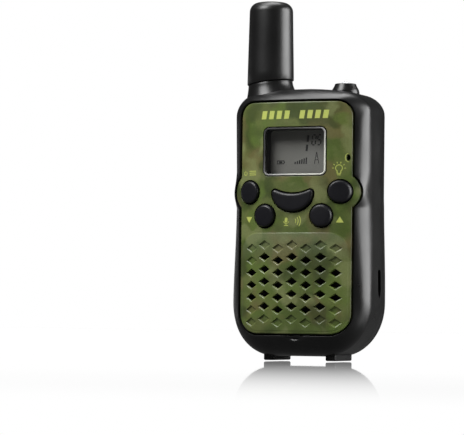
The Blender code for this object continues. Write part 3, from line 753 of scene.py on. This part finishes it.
def make_front_housing():
    outer = resample(body_outline(), RING_POINTS)
    middle = (0.0, (PLATE_BOTTOM + PLATE_TOP) / 2)
    directions = []
    for x, z in outer:
        away = Vector((x - middle[0], z - middle[1])).normalized()
        directions.append((away.x, away.y))

    def plate_ring(grow):
        return cast(plate_outline(grow), middle, directions)

    floor = PLATE_THICKNESS + 0.3
    rings = []
    inner = plate_ring(-2.0)
    rings.append([spot(x, bulge(x) + floor + 1.2, z) for x, z in inner])
    rings.append([spot(x, bulge(x) + floor, z) for x, z in inner])
    wall = plate_ring(GROOVE)
    rings.append([spot(x, bulge(x) + floor, z) for x, z in wall])
    start = plate_ring(GROOVE + 0.30)
    for ring, below in ((wall, 0.30), (plate_ring(GROOVE + 0.09), 0.09), (start, 0.0)):
        rings.append([spot(x, lip_depth(x) + below + min(thumb_notch(x, z), NOTCH_LIP), z) for x, z in ring])
    # From the lip, an elliptic corner that starts leaning back already and ends square to the front
    lean = math.radians(36)
    steps = 32
    sideways = [abs(x) / math.hypot(x, (z - middle[1]) * 0.62) for x, z in outer]
    deeper = SIDE_CORNER_DEPTH - FRONT_CORNER_DEPTH
    corners = [FRONT_CORNER_DEPTH + deeper * share ** 3 for share in sideways]
    for step in range(1, steps + 1):
        angle = lean + (math.pi / 2 - lean) * step / steps
        out = (math.sin(angle) - math.sin(lean)) / (1 - math.sin(lean))
        back = (math.cos(lean) - math.cos(angle)) / math.cos(lean)
        ring = []
        for (ax, az), (bx, bz), corner in zip(start, outer, corners):
            near = lip_depth(ax)
            x, z = ax + (bx - ax) * out, az + (bz - az) * out
            ring.append(spot(x, near + (corner - near) * back + thumb_notch(x, z), z))
        rings.append(ring)
    rings += [ring_at(outer, depth) for depth in (16.0, 20.0, 22.0, SEAM - SEAM_EDGE)]
    rings.append(ring_at(offset_loop(outer, -SEAM_EDGE), SEAM))
    lining = offset_loop(outer, -SHELL_WALL)
    rings += [ring_at(lining, SEAM), ring_at(lining, FRONT_LINING)]
    mesh = bmesh.new()
    loft(mesh, rings + rings[:1])
    body = finish_mesh(mesh, "front_shell", weighted=False)
    subtract(body, slot_cutter())
    return dress(body, BLACK, "radio", "housing", "front_housing")


def thumb_notch(x, z):
    """How far the shallow thumb recess, just below the faceplate, sinks the skin at a point."""
    across, up = (x - NOTCH_PLACE[0]) / NOTCH_HALF[0], (z - NOTCH_PLACE[1]) / NOTCH_HALF[1]
    reach = across ** 2 + up ** 2
    return NOTCH_DEPTH * max(1.0 - reach, 0.0) ** 2


def slot_cutter():
    """The strap slot in the right side: round above, pointed below."""
    outline = arc((SLOT_DEPTH, 35.3), 1.6, 0, 180, 14)
    outline += [(SLOT_DEPTH + across, z) for across, z in
                ((-1.6, 29.0), (-1.1, 26.8), (0.0, 25.0), (1.1, 26.8), (1.6, 29.0))]
    return slab("slot_tool", outline, [], 26.0, 33.0, 0.0, side_space)


def back_depth(z):
    """The battery end is slightly thicker than the upper back."""
    share = min(max((66.0 - z) / 4.0, 0.0), 1.0)
    return UPPER_BACK + (BATTERY_BACK - UPPER_BACK) * share * share * (3 - 2 * share)


def make_rear_housing():
    outer = resample(body_outline(), RING_POINTS // 2)
    lining = offset_loop(outer, -SHELL_WALL)
    start = REAR_SEAM + SEAM_EDGE
    rings = [ring_at(lining, REAR_LINING), ring_at(lining, REAR_SEAM)]
    rings += [ring_at(offset_loop(outer, -SEAM_EDGE), REAR_SEAM), ring_at(outer, start)]
    steps = 14
    for step in range(steps + 1):
        angle = math.pi / 2 * step / steps
        inset = REAR_CORNER_RADIUS * (1 - math.cos(angle))
        loop = resample(body_outline(-inset), RING_POINTS // 2)
        rings.append([spot(x, start + (back_depth(z) - start) * math.sin(angle), z) for x, z in loop])
    mesh = bmesh.new()
    loft(mesh, rings)
    fill(mesh, loop, [], lambda x, z: spot(x, back_depth(z), z), 2.0)
    fill(mesh, lining, [], lambda x, z: spot(x, REAR_LINING, z))
    body = finish_mesh(mesh, "rear_shell", weighted=False)
    low, high = box_mm("battery_cover")
    seat = rounded_box(low[0] - 0.3, high[0] + 0.3, low[2] - 0.3, high[2] + 0.3, 2.8)
    subtract(body, slab("seat_tool", seat, [], low[1] - 0.3, BEYOND, 0.0, flat_space))
    subtract(body, bay_tool())
    for number in range(1, 5):
        x, _, z = centre_of(f"housing_screw_{number}")
        head = box_mm(f"housing_screw_{number}")[1][1]
        profile = [(0.0, BEYOND), (2.3, BEYOND), (2.3, head - 1.6), (0.0, head - 1.6)]
        subtract(body, lathe("hole_tool", profile, (x, z), 36, axis="y"))
    return dress(body, BLACK, "radio", "housing", "rear_housing")


def bay_outline(grow, radius):
    """The battery compartment, round the four cells and their contacts."""
    half = box_mm("battery_cell_4")[1][0] + 0.5 + grow
    low = box_mm("contact_bottom_1")[0][2] - 0.3 - grow
    high = box_mm("contact_top_1")[1][2] + 0.3 + grow
    return rounded_box(-half, half, low, high, radius)


def bay_tool():
    return slab("bay_tool", bay_outline(0.0, 0.5), [], BAY_FLOOR, BEYOND, 0.0, flat_space)


def make_battery_tray():
    """The tray inside the rear housing that the cells lie in."""
    top = REAR_LINING - 0.1
    tray = slab("battery_tray", bay_outline(1.6, 4.0), [], BAY_FLOOR - 1.4, top, 0.0, flat_space)
    subtract(tray, bay_tool())
    dress(tray, BLACK, "radio", "housing", "rear_housing")


# Faceplate, its print and a painted highlight

LENS_GAP = 0.3
# Grille: pitch of its columns and rows, tops of the even and odd columns, and its rows
GRILLE_PITCH, GRILLE_ROW = 6.0, 4.93
GRILLE_TOPS = (46.3, 44.9)
GRILLE_ROWS = 7


def grille_cells():
    """Each cell's x and z, and whether it goes right through."""
    cells = []
    for column in range(-3, 4):
        top = GRILLE_TOPS[column % 2]
        closed = 2 if abs(column) == 3 else 1
        for row in range(GRILLE_ROWS):
            through = closed <= row < GRILLE_ROWS - closed
            cells.append((column * GRILLE_PITCH, top - row * GRILLE_ROW, through))
    return cells


def panel_outline():
    """The raised speaker panel: follows the plate's rim below, with its own rounded top corners."""
    half, top, radius = PANEL
    bottom, low_radius = PLATE_BOTTOM + 1.4, PLATE_BOTTOM_RADIUS - 1.2
    right = arc((half - low_radius, bottom + low_radius), low_radius, -90, 0, 12)
    right += arc((half - radius, top - radius), radius, 0, 90, 12)
    return mirrored(right)


def make_faceplate():
    mesh = bmesh.new()
    bevel = 0.12

    def hole_walls(rings, end=None):
        back = [] if end is None else [(rings[-1][0], end)]
        walls(mesh, rings + back, bulge_space)

    def face(outline, holes, depth, spacing=None):
        fill(mesh, outline, holes, lambda u, v: bulge_space(u, v, depth), spacing)

    rim = edge_rings(densify(plate_outline(), 1.2), -1, 0.45, 4)
    hole_walls(rim, PLATE_THICKNESS)
    window = rounded_box(WINDOW_LOW[0], WINDOW_HIGH[0], WINDOW_LOW[1], WINDOW_HIGH[1], 2.6, 10)
    holes = [window]
    for side in (-1, 1):
        holes.append(circle((side * OUTER_KEY[0], OUTER_KEY[2]), KEY_RADIUS + KEY_GAP))
        holes.append(circle((side * INNER_KEY[0], INNER_KEY[2]), KEY_RADIUS + KEY_GAP))
    holes.append(talk_key_outline(-0.05))
    holes.append(oval_arc(SOUND_HOLE, SOUND_HOLE_HALF, 0, 360, 28)[:-1])
    front_holes = []
    holes = [densify(hole, 1.2) for hole in holes]
    for hole in holes:
        rings = edge_rings(hole, 1, bevel)
        front_holes.append(rings[0][0])
        hole_walls(rings, PLATE_THICKNESS)
    panel = densify(panel_outline(), 1.2)
    panel_steps = []
    for step in range(5):
        share = step / 4
        rise = PANEL_RISE * share * share * (3 - 2 * share)
        panel_steps.append((offset_loop(panel, 0.5 * (1 - share)), -rise))
    hole_walls(panel_steps)
    face(rim[0][0], front_holes + [panel_steps[0][0]], 0.0, 1.3)
    panel_holes = []
    through_holes = []
    for x, z, through in grille_cells():
        rings = [(diamond(x, z - 0.2, 2.78, 1.95), -PANEL_RISE)]
        rings.append((diamond(x, z - 0.16, 2.68, 1.86), 0.05 - PANEL_RISE))
        rings.append((diamond(x, z, 2.26, 1.50), 0.30))
        panel_holes.append(rings[0][0])
        if through:
            through_holes.append(rings[-1][0])
            hole_walls(rings, PLATE_THICKNESS)
        else:
            rings.append((diamond(x, z, 2.15, 1.42), 0.5))
            hole_walls(rings)
            face(rings[-1][0], [], 0.5)
    face(panel, panel_holes, -PANEL_RISE, 1.3)
    face(densify(plate_outline(), 1.2), holes + through_holes, PLATE_THICKNESS, 1.8)
    plate = finish_mesh(mesh, "camouflage_plate", sharp=32)
    return dress(plate, CAMO_WITH_PAINTED_HIGHLIGHT, "radio", "camouflage", "faceplate")


def ring_band(centre, inner, outer, start=0, end=360, steps=24):
    """A band of an arc as one outline."""
    return arc(centre, outer, start, end, steps) + list(reversed(arc(centre, inner, start, end, steps)))


def bar(a, b, width):
    """A straight stroke between two points as a four-cornered outline."""
    along = (Vector(b) - Vector(a)).normalized()
    side = Vector((-along.y, along.x)) * width / 2
    a, b = Vector(a), Vector(b)
    return [tuple(a - side), tuple(b - side), tuple(b + side), tuple(a + side)]


def strokes_at(place, strokes):
    """Bars given as two ends and a width, measured from a place."""
    return [bar(Vector(place) + Vector(a), Vector(place) + Vector(b), width) for a, b, width in strokes]


def marks(name, shapes, near, far, to_space, surface, slot):
    """Thin flat shapes as one piece: print or a painted highlight on the plate, or segments on the display.
    """
    mesh = bmesh.new()
    for shape in shapes:
        area = sum(a[0] * b[1] - b[0] * a[1] for a, b in zip(shape, shape[1:] + shape[:1]))
        loop = shape if area > 0 else list(reversed(shape))
        strip(mesh, [to_space(u, v, near) for u, v in loop], [to_space(u, v, far) for u, v in loop])
        for w in (near, far):
            fill(mesh, loop, [], lambda u, v, w=w: to_space(u, v, w))
    obj = finish_mesh(mesh, name, weighted=False)
    return dress(obj, surface, "radio", slot)


def make_print():
    """Generic marks: two groups of slanted bars, arrows, and icons beside the keys; also a painted highlight
    on the left of the sound hole's rim.
    """
    shapes = []
    lean = 0.55
    for index in (0, 1, 2, 3, 5, 6, 7, 8):
        left = -14.0 + index * 3.3
        shapes.append([(left, 96.5), (left + 2.1, 96.5), (left + 2.1 + lean, 99.8), (left + lean, 99.8)])
    for side, up in ((-1, False), (1, True)):
        x = side * 19.5
        tip, base = (57.4, 55.0) if up else (55.0, 57.4)
        shapes.append([(x, tip), (x - 1.45, base), (x + 1.45, base)])
    bulb = (19.0, 76.6)
    shapes.append(ring_band(bulb, 1.15, 1.42, -52, 232, 22))
    shapes += strokes_at(bulb, (((-0.7, -1.0), (-0.7, -2.0), 0.28), ((0.7, -1.0), (0.7, -2.0), 0.28),
                                ((-0.8, -2.1), (0.8, -2.1), 0.28), ((-0.6, -2.7), (0.6, -2.7), 0.28)))
    rays = zip(arc(bulb, 1.95, 0, 180, 5), arc(bulb, 2.6, 0, 180, 5))
    shapes += [bar(near, far, 0.26) for near, far in rays]
    power = (-21.6, 75.0)
    shapes.append(ring_band(power, 0.62, 0.85, -220, 40, 16))
    shapes += strokes_at(power, (((0.0, 0.2), (0.0, 1.05), 0.24),))
    shapes += strokes_at((-18.0, 74.3), [((-1.6, up), (1.6, up), 0.3) for up in (0.0, 0.75, 1.5)])
    shapes.append(rounded_box(-3.2, -2.0, 55.0, 57.0, 0.58, 4))
    microphone = (-2.6, 55.7)
    shapes.append(ring_band(microphone, 1.0, 1.25, -170, -10, 12))
    shapes += strokes_at(microphone, (((0.0, -1.1), (0.0, -1.8), 0.26), ((-0.9, -1.9), (0.9, -1.9), 0.26)))
    for radius in (1.2, 2.2, 3.2):
        shapes.append(ring_band((0.2, 55.6), radius, radius + 0.32, -38, 38, 10))
    fine = [densify(shape, 0.8) for shape in shapes]
    marks("pale_print", fine, -0.03, 0.04, bulge_space, PRINT_AND_PAINTED_HIGHLIGHT, "camouflage")
    # Painted highlight: a pale crescent round the left half of the sound hole, in the print's colour
    across, up = SOUND_HOLE_HALF
    ring = []
    for start in (90, 180):
        outer, inner = [oval_arc(SOUND_HOLE, (across + grow, up + grow), start, start + 90, 10)
                        for grow in (0.42, 0.2)]
        ring.append(outer + list(reversed(inner)))
    marks("sound_hole_painted_highlight", ring, -0.02, 0.04, bulge_space, PRINT_AND_PAINTED_HIGHLIGHT, "camouflage")


def densify(loop, spacing):
    """Extra points along a loop, so that it can follow the bulge."""
    points = []
    for a, b in zip(loop, loop[1:] + loop[:1]):
        pieces = max(1, int(math.dist(a, b) / spacing))
        for piece in range(pieces):
            share = piece / pieces
            points.append((a[0] + (b[0] - a[0]) * share, a[1] + (b[1] - a[1]) * share))
    return points


# Display

SEGMENTS = {
    "top": ((0, 2), (1, 2)),
    "middle": ((0, 1), (1, 1)),
    "bottom": ((0, 0), (1, 0)),
    "upper_left": ((0, 1), (0, 2)),
    "upper_right": ((1, 1), (1, 2)),
    "lower_left": ((0, 0), (0, 1)),
    "lower_right": ((1, 0), (1, 1)),
}
DIGITS = {
    "1": ("upper_right", "lower_right"),
    "0": ("top", "bottom", "upper_left", "upper_right", "lower_left", "lower_right"),
    "5": ("top", "middle", "bottom", "upper_left", "lower_right"),
}


def digit(value, left, bottom, width, height, stroke):
    """A seven-segment digit, leaning slightly to the right."""
    lean = 0.12
    shapes = []
    for name in DIGITS[value]:
        (ax, ay), (bx, by) = SEGMENTS[name]
        a = Vector((left + ax * width + ay * height / 2 * lean, bottom + ay * height / 2))
        b = Vector((left + bx * width + by * height / 2 * lean, bottom + by * height / 2))
        trim = (b - a).normalized() * stroke * 0.6
        shapes.append(bar(tuple(a + trim), tuple(b - trim), stroke))
    return shapes


def make_display():
    low, high = box_mm("lcd_panel")
    face = low[1]
    shapes = digit("1", 1.75, 83.3, 1.6, 7.4, 0.9)
    shapes += digit("0", 5.6, 86.3, 1.5, 4.0, 0.5)
    shapes += digit("5", 7.9, 86.3, 1.5, 4.0, 0.5)
    level = [((0.96 * n, 0.0), (0.14 + 0.96 * n, 0.9 + 0.34 * n), 0.56) for n in range(6)]
    shapes += strokes_at((-1.5, 78.7), level)
    battery = (((-1.4, -0.6), (1.4, -0.6), 0.3), ((-1.4, 0.6), (1.4, 0.6), 0.3),
               ((-1.4, -0.7), (-1.4, 0.7), 0.3), ((1.4, -0.7), (1.4, 0.7), 0.3),
               ((-0.7, 0.0), (0.7, 0.0), 0.7), ((1.5, 0.0), (1.8, 0.0), 0.6))
    shapes += strokes_at((-7.7, 79.5), battery)
    mast = (((-0.95, 0.0), (0.0, 4.7), 0.28), ((0.95, 0.0), (0.0, 4.7), 0.28),
            ((-0.65, 1.5), (0.65, 1.5), 0.26), ((-0.35, 3.0), (0.35, 3.0), 0.26))
    shapes += strokes_at((7.8, 78.8), mast)
    marks("display_segments", shapes, face - 0.03, face - 0.002, flat_space, SEGMENT, "display")
    front = box_mm("lcd_window")[0][1]
    left, bottom = WINDOW_LOW[0] + LENS_GAP, WINDOW_LOW[1] + LENS_GAP
    right, top = WINDOW_HIGH[0] - LENS_GAP, WINDOW_HIGH[1] - LENS_GAP
    outline = rounded_box(left, right, bottom, top, 2.3, 10)
    lens = slab("display_lens", outline, [], front, front + 1.3, 0.3, flat_space, steps=1)
    dress(lens, CLEAR, "radio", "window", "lcd_window")
    rim = rounded_box(left + 0.15, right - 0.15, bottom + 0.15, top - 0.15, 2.2, 10)
    rim_inner = rounded_box(left + 0.7, right - 0.7, bottom + 0.7, top - 0.7, 1.7, 10)
    # The rim carries the lens edge's painted highlight.
    edge = slab("display_rim", rim, [rim_inner], front - 0.08, front + 1.2, 0.08, flat_space)
    dress(edge, LENS_EDGE_PAINTED_HIGHLIGHT, "radio", "window")
    well = rounded_box(left + 0.15, right - 0.15, bottom + 0.15, top - 0.15, 2.1, 10)
    inner = rounded_box(left + 0.8, right - 0.8, bottom + 0.8, top - 0.8, 1.7, 10)
    liner = slab("display_well", well, [inner], front + 1.4, face - 0.1, 0.0, flat_space)
    dress(liner, INNER_BLACK, "radio", "black_inner")


# Keys

def rubber_cap(name, outline, node, body):
    """A rubber key: gently domed face that follows the bulge, rounded edge and straight skirt."""
    proud = 1.3
    edge = ((1.15, 0.0), (0.88, 0.04), (0.65, 0.13), (0.46, 0.28), (0.31, 0.50), (0.20, 0.80), (0.14, 1.1),
            (0.10, 1.5))
    profile = [(inset, back - proud) for inset, back in edge] + [(0.10, 5.0)]
    mesh = bmesh.new()
    outline = densify(outline, 1.0)
    rings = [(offset_loop(outline, -inset) if inset else outline, depth) for inset, depth in profile]
    walls(mesh, rings, bulge_space)
    fill(mesh, rings[0][0], [], lambda u, v: bulge_space(u, v, -proud), 0.9)
    fill(mesh, rings[-1][0], [], lambda u, v: bulge_space(u, v, 5.0), 1.2)
    key = finish_mesh(mesh, name, sharp=50, weighted=False)
    return dress(key, KEY_BLACK, body, "keys", node)


def make_keys():
    for node in ("menu_key", "light_key", "down_key", "up_key"):
        x, _, z = centre_of(node)
        rubber_cap(node + "_cap", circle((x, z), KEY_RADIUS, 72), node, node)
    rubber_cap("talk_key_cap", talk_key_outline(KEY_SHRINK), "ptt_key", "talk_key")


# Antenna and lamp

def make_antenna():
    low, high = box_mm("antenna_sleeve")
    x, depth = (low[0] + high[0]) / 2, (low[1] + high[1]) / 2
    top, rim = high[2], low[2] - 0.35
    wide = (high[0] - low[0]) / 2
    narrow = wide - 0.6
    tilt = 0.125
    profile = [(0.0, top)] + [(r, h) for r, h in arc((narrow - 3.9, top - 3.9), 3.9, 88, 0, 14)]
    for step in range(1, 8):
        share = step / 8
        height = top - 3.9 + (rim + 4.7 - top) * share
        profile.append((narrow + (wide - narrow) * share, height, share ** 3))
    profile += [(wide, rim + 0.35, 1.0), (wide - 0.12, rim + 0.1, 1.0), (wide - 0.4, rim, 1.0)]
    profile += [(wide - 1.6, rim, 1.0), (wide - 1.7, rim + 3.0, 1.0)]
    profile += [(wide - 2.3, top - 5.0), (0.0, top - 4.6)]
    sleeve = lathe("antenna_cover", profile, (x, depth), 96, tilt)
    dress(sleeve, SLEEVE_BLACK, "radio", "antenna", "antenna_sleeve")
    top = box_mm("antenna_collar")[1][2]
    profile = [(0.0, top - 0.1, 0.9), (wide - 1.2, top - 0.1, 0.9), (wide - 0.62, top - 0.25, 0.9)]
    for step in range(11):
        share = step / 10
        flare = share ** 1.5
        profile.append((wide - 0.45 + 2.0 * flare, top - 0.7 - 6.0 * share, 0.85 * (1 - share), 1.5 * flare))
    profile += [(wide + 1.55, top - 8.8, 0.0, 1.5), (0.0, top - 8.8, 0.0, 1.5)]
    collar = lathe("antenna_base", profile, (x, depth), 96, tilt)
    subtract(collar, shell_cutter())
    dress(collar, BLACK, "radio", "housing", "antenna_collar")


def shell_cutter():
    """The space under the top of the housing, so that the collar ends just inside its skin."""
    outline = body_outline(-0.25)
    mesh = bmesh.new()
    loops = []
    for step in range(9):
        angle = math.pi / 2 * step / 8
        loops.append((-4.0 * (1 - math.sin(angle)), FRONT_CORNER_DEPTH - 4.0 * math.cos(angle)))
    rings = [ring_at(resample(body_outline(-0.25 + inset), 160), depth) for inset, depth in loops]
    rings.append(ring_at(resample(outline, 160), 30.0))
    loft(mesh, rings)
    fill(mesh, resample(body_outline(-4.25), 160), [], lambda u, v: spot(u, FRONT_CORNER_DEPTH - 4.0, v))
    fill(mesh, resample(outline, 160), [], lambda u, v: spot(u, 30.0, v))
    return finish_mesh(mesh, "collar_tool", weighted=False)


def make_lamp():
    low, high = box_mm("torch_bezel")
    x, depth = (low[0] + high[0]) / 2, (low[1] + high[1]) / 2
    wide = (high[0] - low[0]) / 2
    top, foot = high[2], low[2] - 2.5
    rim = wide - 1.25
    profile = [(3.1, top - 1.4), (3.1, top - 0.25), (3.3, top)]
    profile += [(rim - 0.5 + 0.5 * math.sin(a), top - 0.5 * (1 - math.cos(a)))
                for a in (math.radians(15 * k) for k in range(0, 6))]
    profile += [(rim + 0.12, top - 0.9), (wide - 0.25, top - 2.4), (wide, top - 3.4)]
    profile += [(wide, foot), (3.1, foot), (3.1, top - 1.4)]
    bezel = lathe("lamp_turret", profile, (x, depth), 72)
    dress(bezel, BLACK, "radio", "housing", "torch_bezel")
    tip = box_mm("torch_led")[1][2]
    radius = 2.5
    dome = [(0.0, tip)] + arc((0.0, tip - radius), radius, 81, 0, 9)
    dome += [(radius, tip - 6.2), (0.0, tip - 6.2)]
    led = lathe("lamp_dome", dome, (x, depth), 48)
    dress(led, LAMP_LENS, "radio", "lamp", "torch_led")
    cup = [(0.0, top - 1.2), (1.5, top - 1.0), (1.9, top - 0.9), (1.9, top - 2.4), (0.0, top - 2.4)]
    chip = lathe("lamp_cup", cup, (x, depth), 36)
    dress(chip, TIN, "radio", "lamp")


# Feet, back, clip and screws

def make_feet():
    for node in ("foot_left", "foot_right"):
        low, high = box_mm(node)
        outline = rounded_box(low[0], high[0], low[1], high[1], 0.8)
        foot = slab(node + "_pad", outline, [], low[2], high[2] + 1.2, 0.6, plan_space, steps=5)
        dress(foot, FOOT_BLACK, "radio", "antenna", node)


def make_cover():
    low, high = box_mm("battery_cover")
    outline = rounded_box(low[0], high[0], low[2], high[2], 2.5)
    cover = slab("battery_lid", outline, [], low[1], high[1], 0.25, flat_space, 4.0)
    for index in range(4):
        z = 13.4 + 2.0 * index
        groove = rounded_box(-6.0, 6.0, z - 0.4, z + 0.4, 0.38, 4)
        subtract(cover, slab("groove_tool", groove, [], high[1] - 0.5, high[1] + 2, 0.0, flat_space))
    dress(cover, BLACK, "battery_door", "housing", "battery_cover")


def make_clip():
    low, high = box_mm("clip_arm")
    pin_low, pin_high = box_mm("clip_pin")
    depth, height = (pin_low[1] + pin_high[1]) / 2, (pin_low[2] + pin_high[2]) / 2
    back = high[1]
    lever = ((0.8, 100.0), (1.6, 97.2), (2.0, 94.0), (2.0, 84.0), (2.1, 76.0), (2.8, 70.5), (4.8, 67.2),
             (7.2, 66.2), (8.7, 66.8), (8.75, 68.0), (7.6, 69.0), (5.6, 71.0), (4.5, 74.5), (4.1, 80.0))
    outer = [(back, high[2] - 0.1)] + [(back - inward, z) for inward, z in lever]
    outer.append((depth + 0.7, height - 2.2))
    knuckle = arc((depth, height), 2.3, -72, -250, 18)
    top = [(depth + 0.8, 97.6), (depth + 2.2, 101.2), (back - 1.7, high[2])]
    loop = list(reversed(outer + knuckle + top))
    arm = slab("clip_lever", loop, [], low[0], high[0], 0.35, side_space)
    subtract(arm, lathe_x("pin_tool", 1.5, (depth, height), -20, 20))
    slot = rounded_box(-3.2, 3.2, 30.0, depth + 2.3, 0.3)
    subtract(arm, slab("spring_tool", slot, [], height - 4.0, height + 3.6, 0.0, plan_space))
    dress(arm, BLACK, "belt_clip", "housing", "clip_arm")
    low, high = box_mm("clip_bracket")
    outline = rounded_box(low[0], high[0], low[2], high[2], 2.0)
    plate = slab("clip_base", outline, [], low[1], low[1] + 1.4, 0.25, flat_space)
    dress(plate, BLACK, "radio", "housing")
    lug = [(low[1] + 0.8, height + 3.4), (low[1] + 0.8, height - 3.4)]
    lug += arc((depth, height), 2.5, -80, 80, 20)
    bore = circle((depth, height), 1.5, 32)
    for number, left in ((1, -10.4), (2, 8.4)):
        ear = slab(f"clip_ear_{number}", lug, [bore], left, left + 2.0, 0.25, side_space)
        dress(ear, BLACK, "radio", "housing")
    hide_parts("clip_bracket")
    pin = lathe_x("clip_axle", 1.2, (depth, height), pin_low[0], pin_high[0])
    dress(pin, STEEL, "radio", "steel", "clip_pin")


def lathe_x(name, radius, centre, left, right):
    """A round bar along X with lightly broken edges."""
    return slab(name, circle(centre, radius, 40), [], left, right, 0.12, side_space)


def make_screws():
    for number in range(1, 5):
        node = f"housing_screw_{number}"
        x, _, z = centre_of(node)
        point, head = [corner[1] for corner in box_mm(node)]
        profile = [(0.0, point), (1.0, point + 0.6), (1.0, head - 1.2), (2.0, head - 1.2), (2.0, head - 0.5),
                   (1.7, head - 0.2), (1.2, head - 0.05), (0.0, head)]
        screw = lathe(f"screw_{number}", profile, (x, z), 40, axis="y")
        cross = []
        for quarter in range(4):
            across, up = ((1, 0), (0, 1), (-1, 0), (0, -1))[quarter]
            for u, v in ((1.15, -0.22), (1.15, 0.22), (0.3, 0.3)):
                cross.append((x + u * across - v * up, z + u * up + v * across))
        subtract(screw, slab("cross_tool", cross, [], head - 0.7, head + 1.0, 0.0, flat_space))
        dress(screw, STEEL, "radio", "steel", node)


# Camera, floor and light

VIEW_AZIMUTH = math.radians(22.3)
VIEW_TURN = math.radians(1.374)
VIEW_RISE = math.radians(2.39)
VIEW_ROLL = math.radians(0.7)
VIEW_DISTANCE = 1.0
LENS_LENGTH = 194.9
EYE_HEIGHT = 0.015
WORLD_GREY = 0.035


def make_camera():
    data = bpy.data.cameras.new("camera")
    data.sensor_width = 36.0
    data.lens = LENS_LENGTH
    data.clip_start = 0.05
    camera = bpy.data.objects.new("camera", data)
    bpy.context.scene.collection.objects.link(camera)
    right = Vector((math.cos(VIEW_AZIMUTH), math.sin(VIEW_AZIMUTH), 0))
    ahead = Vector((-math.sin(VIEW_AZIMUTH), math.cos(VIEW_AZIMUTH), 0))
    target = Vector((0, FRONT, 0))
    camera.location = target - ahead * VIEW_DISTANCE + Vector((0, 0, EYE_HEIGHT))
    heading = ahead - right * math.tan(VIEW_TURN) + Vector((0, 0, math.tan(VIEW_RISE)))
    camera.rotation_euler = heading.to_track_quat("-Z", "Y").to_euler()
    camera.rotation_euler.rotate_axis("Z", VIEW_ROLL)
    bpy.context.scene.camera = camera


def area_light(name, place, aim, size, power, height=None):
    data = bpy.data.lights.new(name, "AREA")
    data.energy = power
    data.size = size
    if height:
        data.shape = "RECTANGLE"
        data.size_y = height
    lamp = bpy.data.objects.new(name, data)
    lamp.location = place
    lamp.rotation_euler = (Vector(aim) - Vector(place)).to_track_quat("-Z", "Y").to_euler()
    bpy.context.scene.collection.objects.link(lamp)


def make_studio():
    bpy.ops.mesh.primitive_plane_add(size=8.0, location=(0, 0, -0.0003))
    floor = bpy.context.object
    floor.name = "floor"
    surface, tree, shader, vector = node_material("floor_white")
    tree.nodes.remove(shader)
    path = add(tree, "ShaderNodeLightPath")
    glow = add(tree, "ShaderNodeEmission")
    light = ramp(tree, path.outputs["Is Camera Ray"], [(0.0, grey(0.14)), (1.0, grey(1.0))])
    tree.links.new(light, glow.inputs["Color"])
    mirror = add(tree, "ShaderNodeBsdfGlossy", in_Roughness=0.02)
    mirror.inputs["Color"].default_value = (1, 1, 1, 1)
    near = share_along(tree, axes(tree, vector)["Y"], -520.0, -20.0, 0.96)
    near.interpolation_type = "SMOOTHSTEP"
    graze = add(tree, "ShaderNodeLayerWeight", in_Blend=0.5)
    steep = math_node(tree, "POWER", graze.outputs["Facing"], 7.0)
    share = math_node(tree, "MULTIPLY", near.outputs["Result"], steep)
    both = add(tree, "ShaderNodeMixShader")
    tree.links.new(share, both.inputs["Fac"])
    tree.links.new(glow.outputs["Emission"], both.inputs[1])
    tree.links.new(mirror.outputs["BSDF"], both.inputs[2])
    tree.links.new(both.outputs["Shader"], tree.nodes["Material Output"].inputs["Surface"])
    floor.data.materials.append(surface)
    world = bpy.data.worlds.new("world")
    bpy.context.scene.world = world
    world.use_nodes = True
    tree = world.node_tree
    background = tree.nodes["Background"]
    background.inputs["Strength"].default_value = 1.0
    direction = add(tree, "ShaderNodeTexCoord")
    aim = axes(tree, direction.outputs["Generated"])
    height = math_node(tree, "ABSOLUTE", aim["Z"])
    band = ramp(tree, height, [(0.022, grey(1.0)), (0.036, grey(WORLD_GREY))])
    path = add(tree, "ShaderNodeLightPath")
    # The pale horizon lies only on the side that the front camera sees in the glossy floor
    away = share_along(tree, aim["X"], 0.02, -0.08)
    behind = math_node(tree, "GREATER_THAN", aim["Y"], 0.0)
    plain = add(tree, "ShaderNodeMix", data_type="RGBA")
    plain.inputs["A"].default_value = (*grey(WORLD_GREY), 1.0)
    tree.links.new(math_node(tree, "MULTIPLY", away.outputs["Result"], behind), plain.inputs["Factor"])
    tree.links.new(band, plain.inputs["B"])
    choose = mix(tree, path.outputs["Is Camera Ray"], plain.outputs["Result"], (1.0, 1.0, 1.0))
    tree.links.new(choose, background.inputs["Color"])
    middle = (0.0, 0.0, 0.07)
    area_light("side_wide", (0.66, 0.20, 0.15), middle, 0.58, 10.5, 0.7)
    area_light("overhead", (-0.06, 0.03, 0.75), middle, 0.62, 5.0, 0.4)
    area_light("front_high", (-0.16, -0.30, 0.42), middle, 0.27, 2.5, 0.24)
    bpy.context.scene.view_settings.view_transform = "Standard"


dress_cad_nodes()
make_camera()
make_studio()
make_front_housing()
make_rear_housing()
make_battery_tray()
make_faceplate()
make_print()
make_display()
make_keys()
make_antenna()
make_lamp()
make_feet()
make_cover()
make_clip()
make_screws()
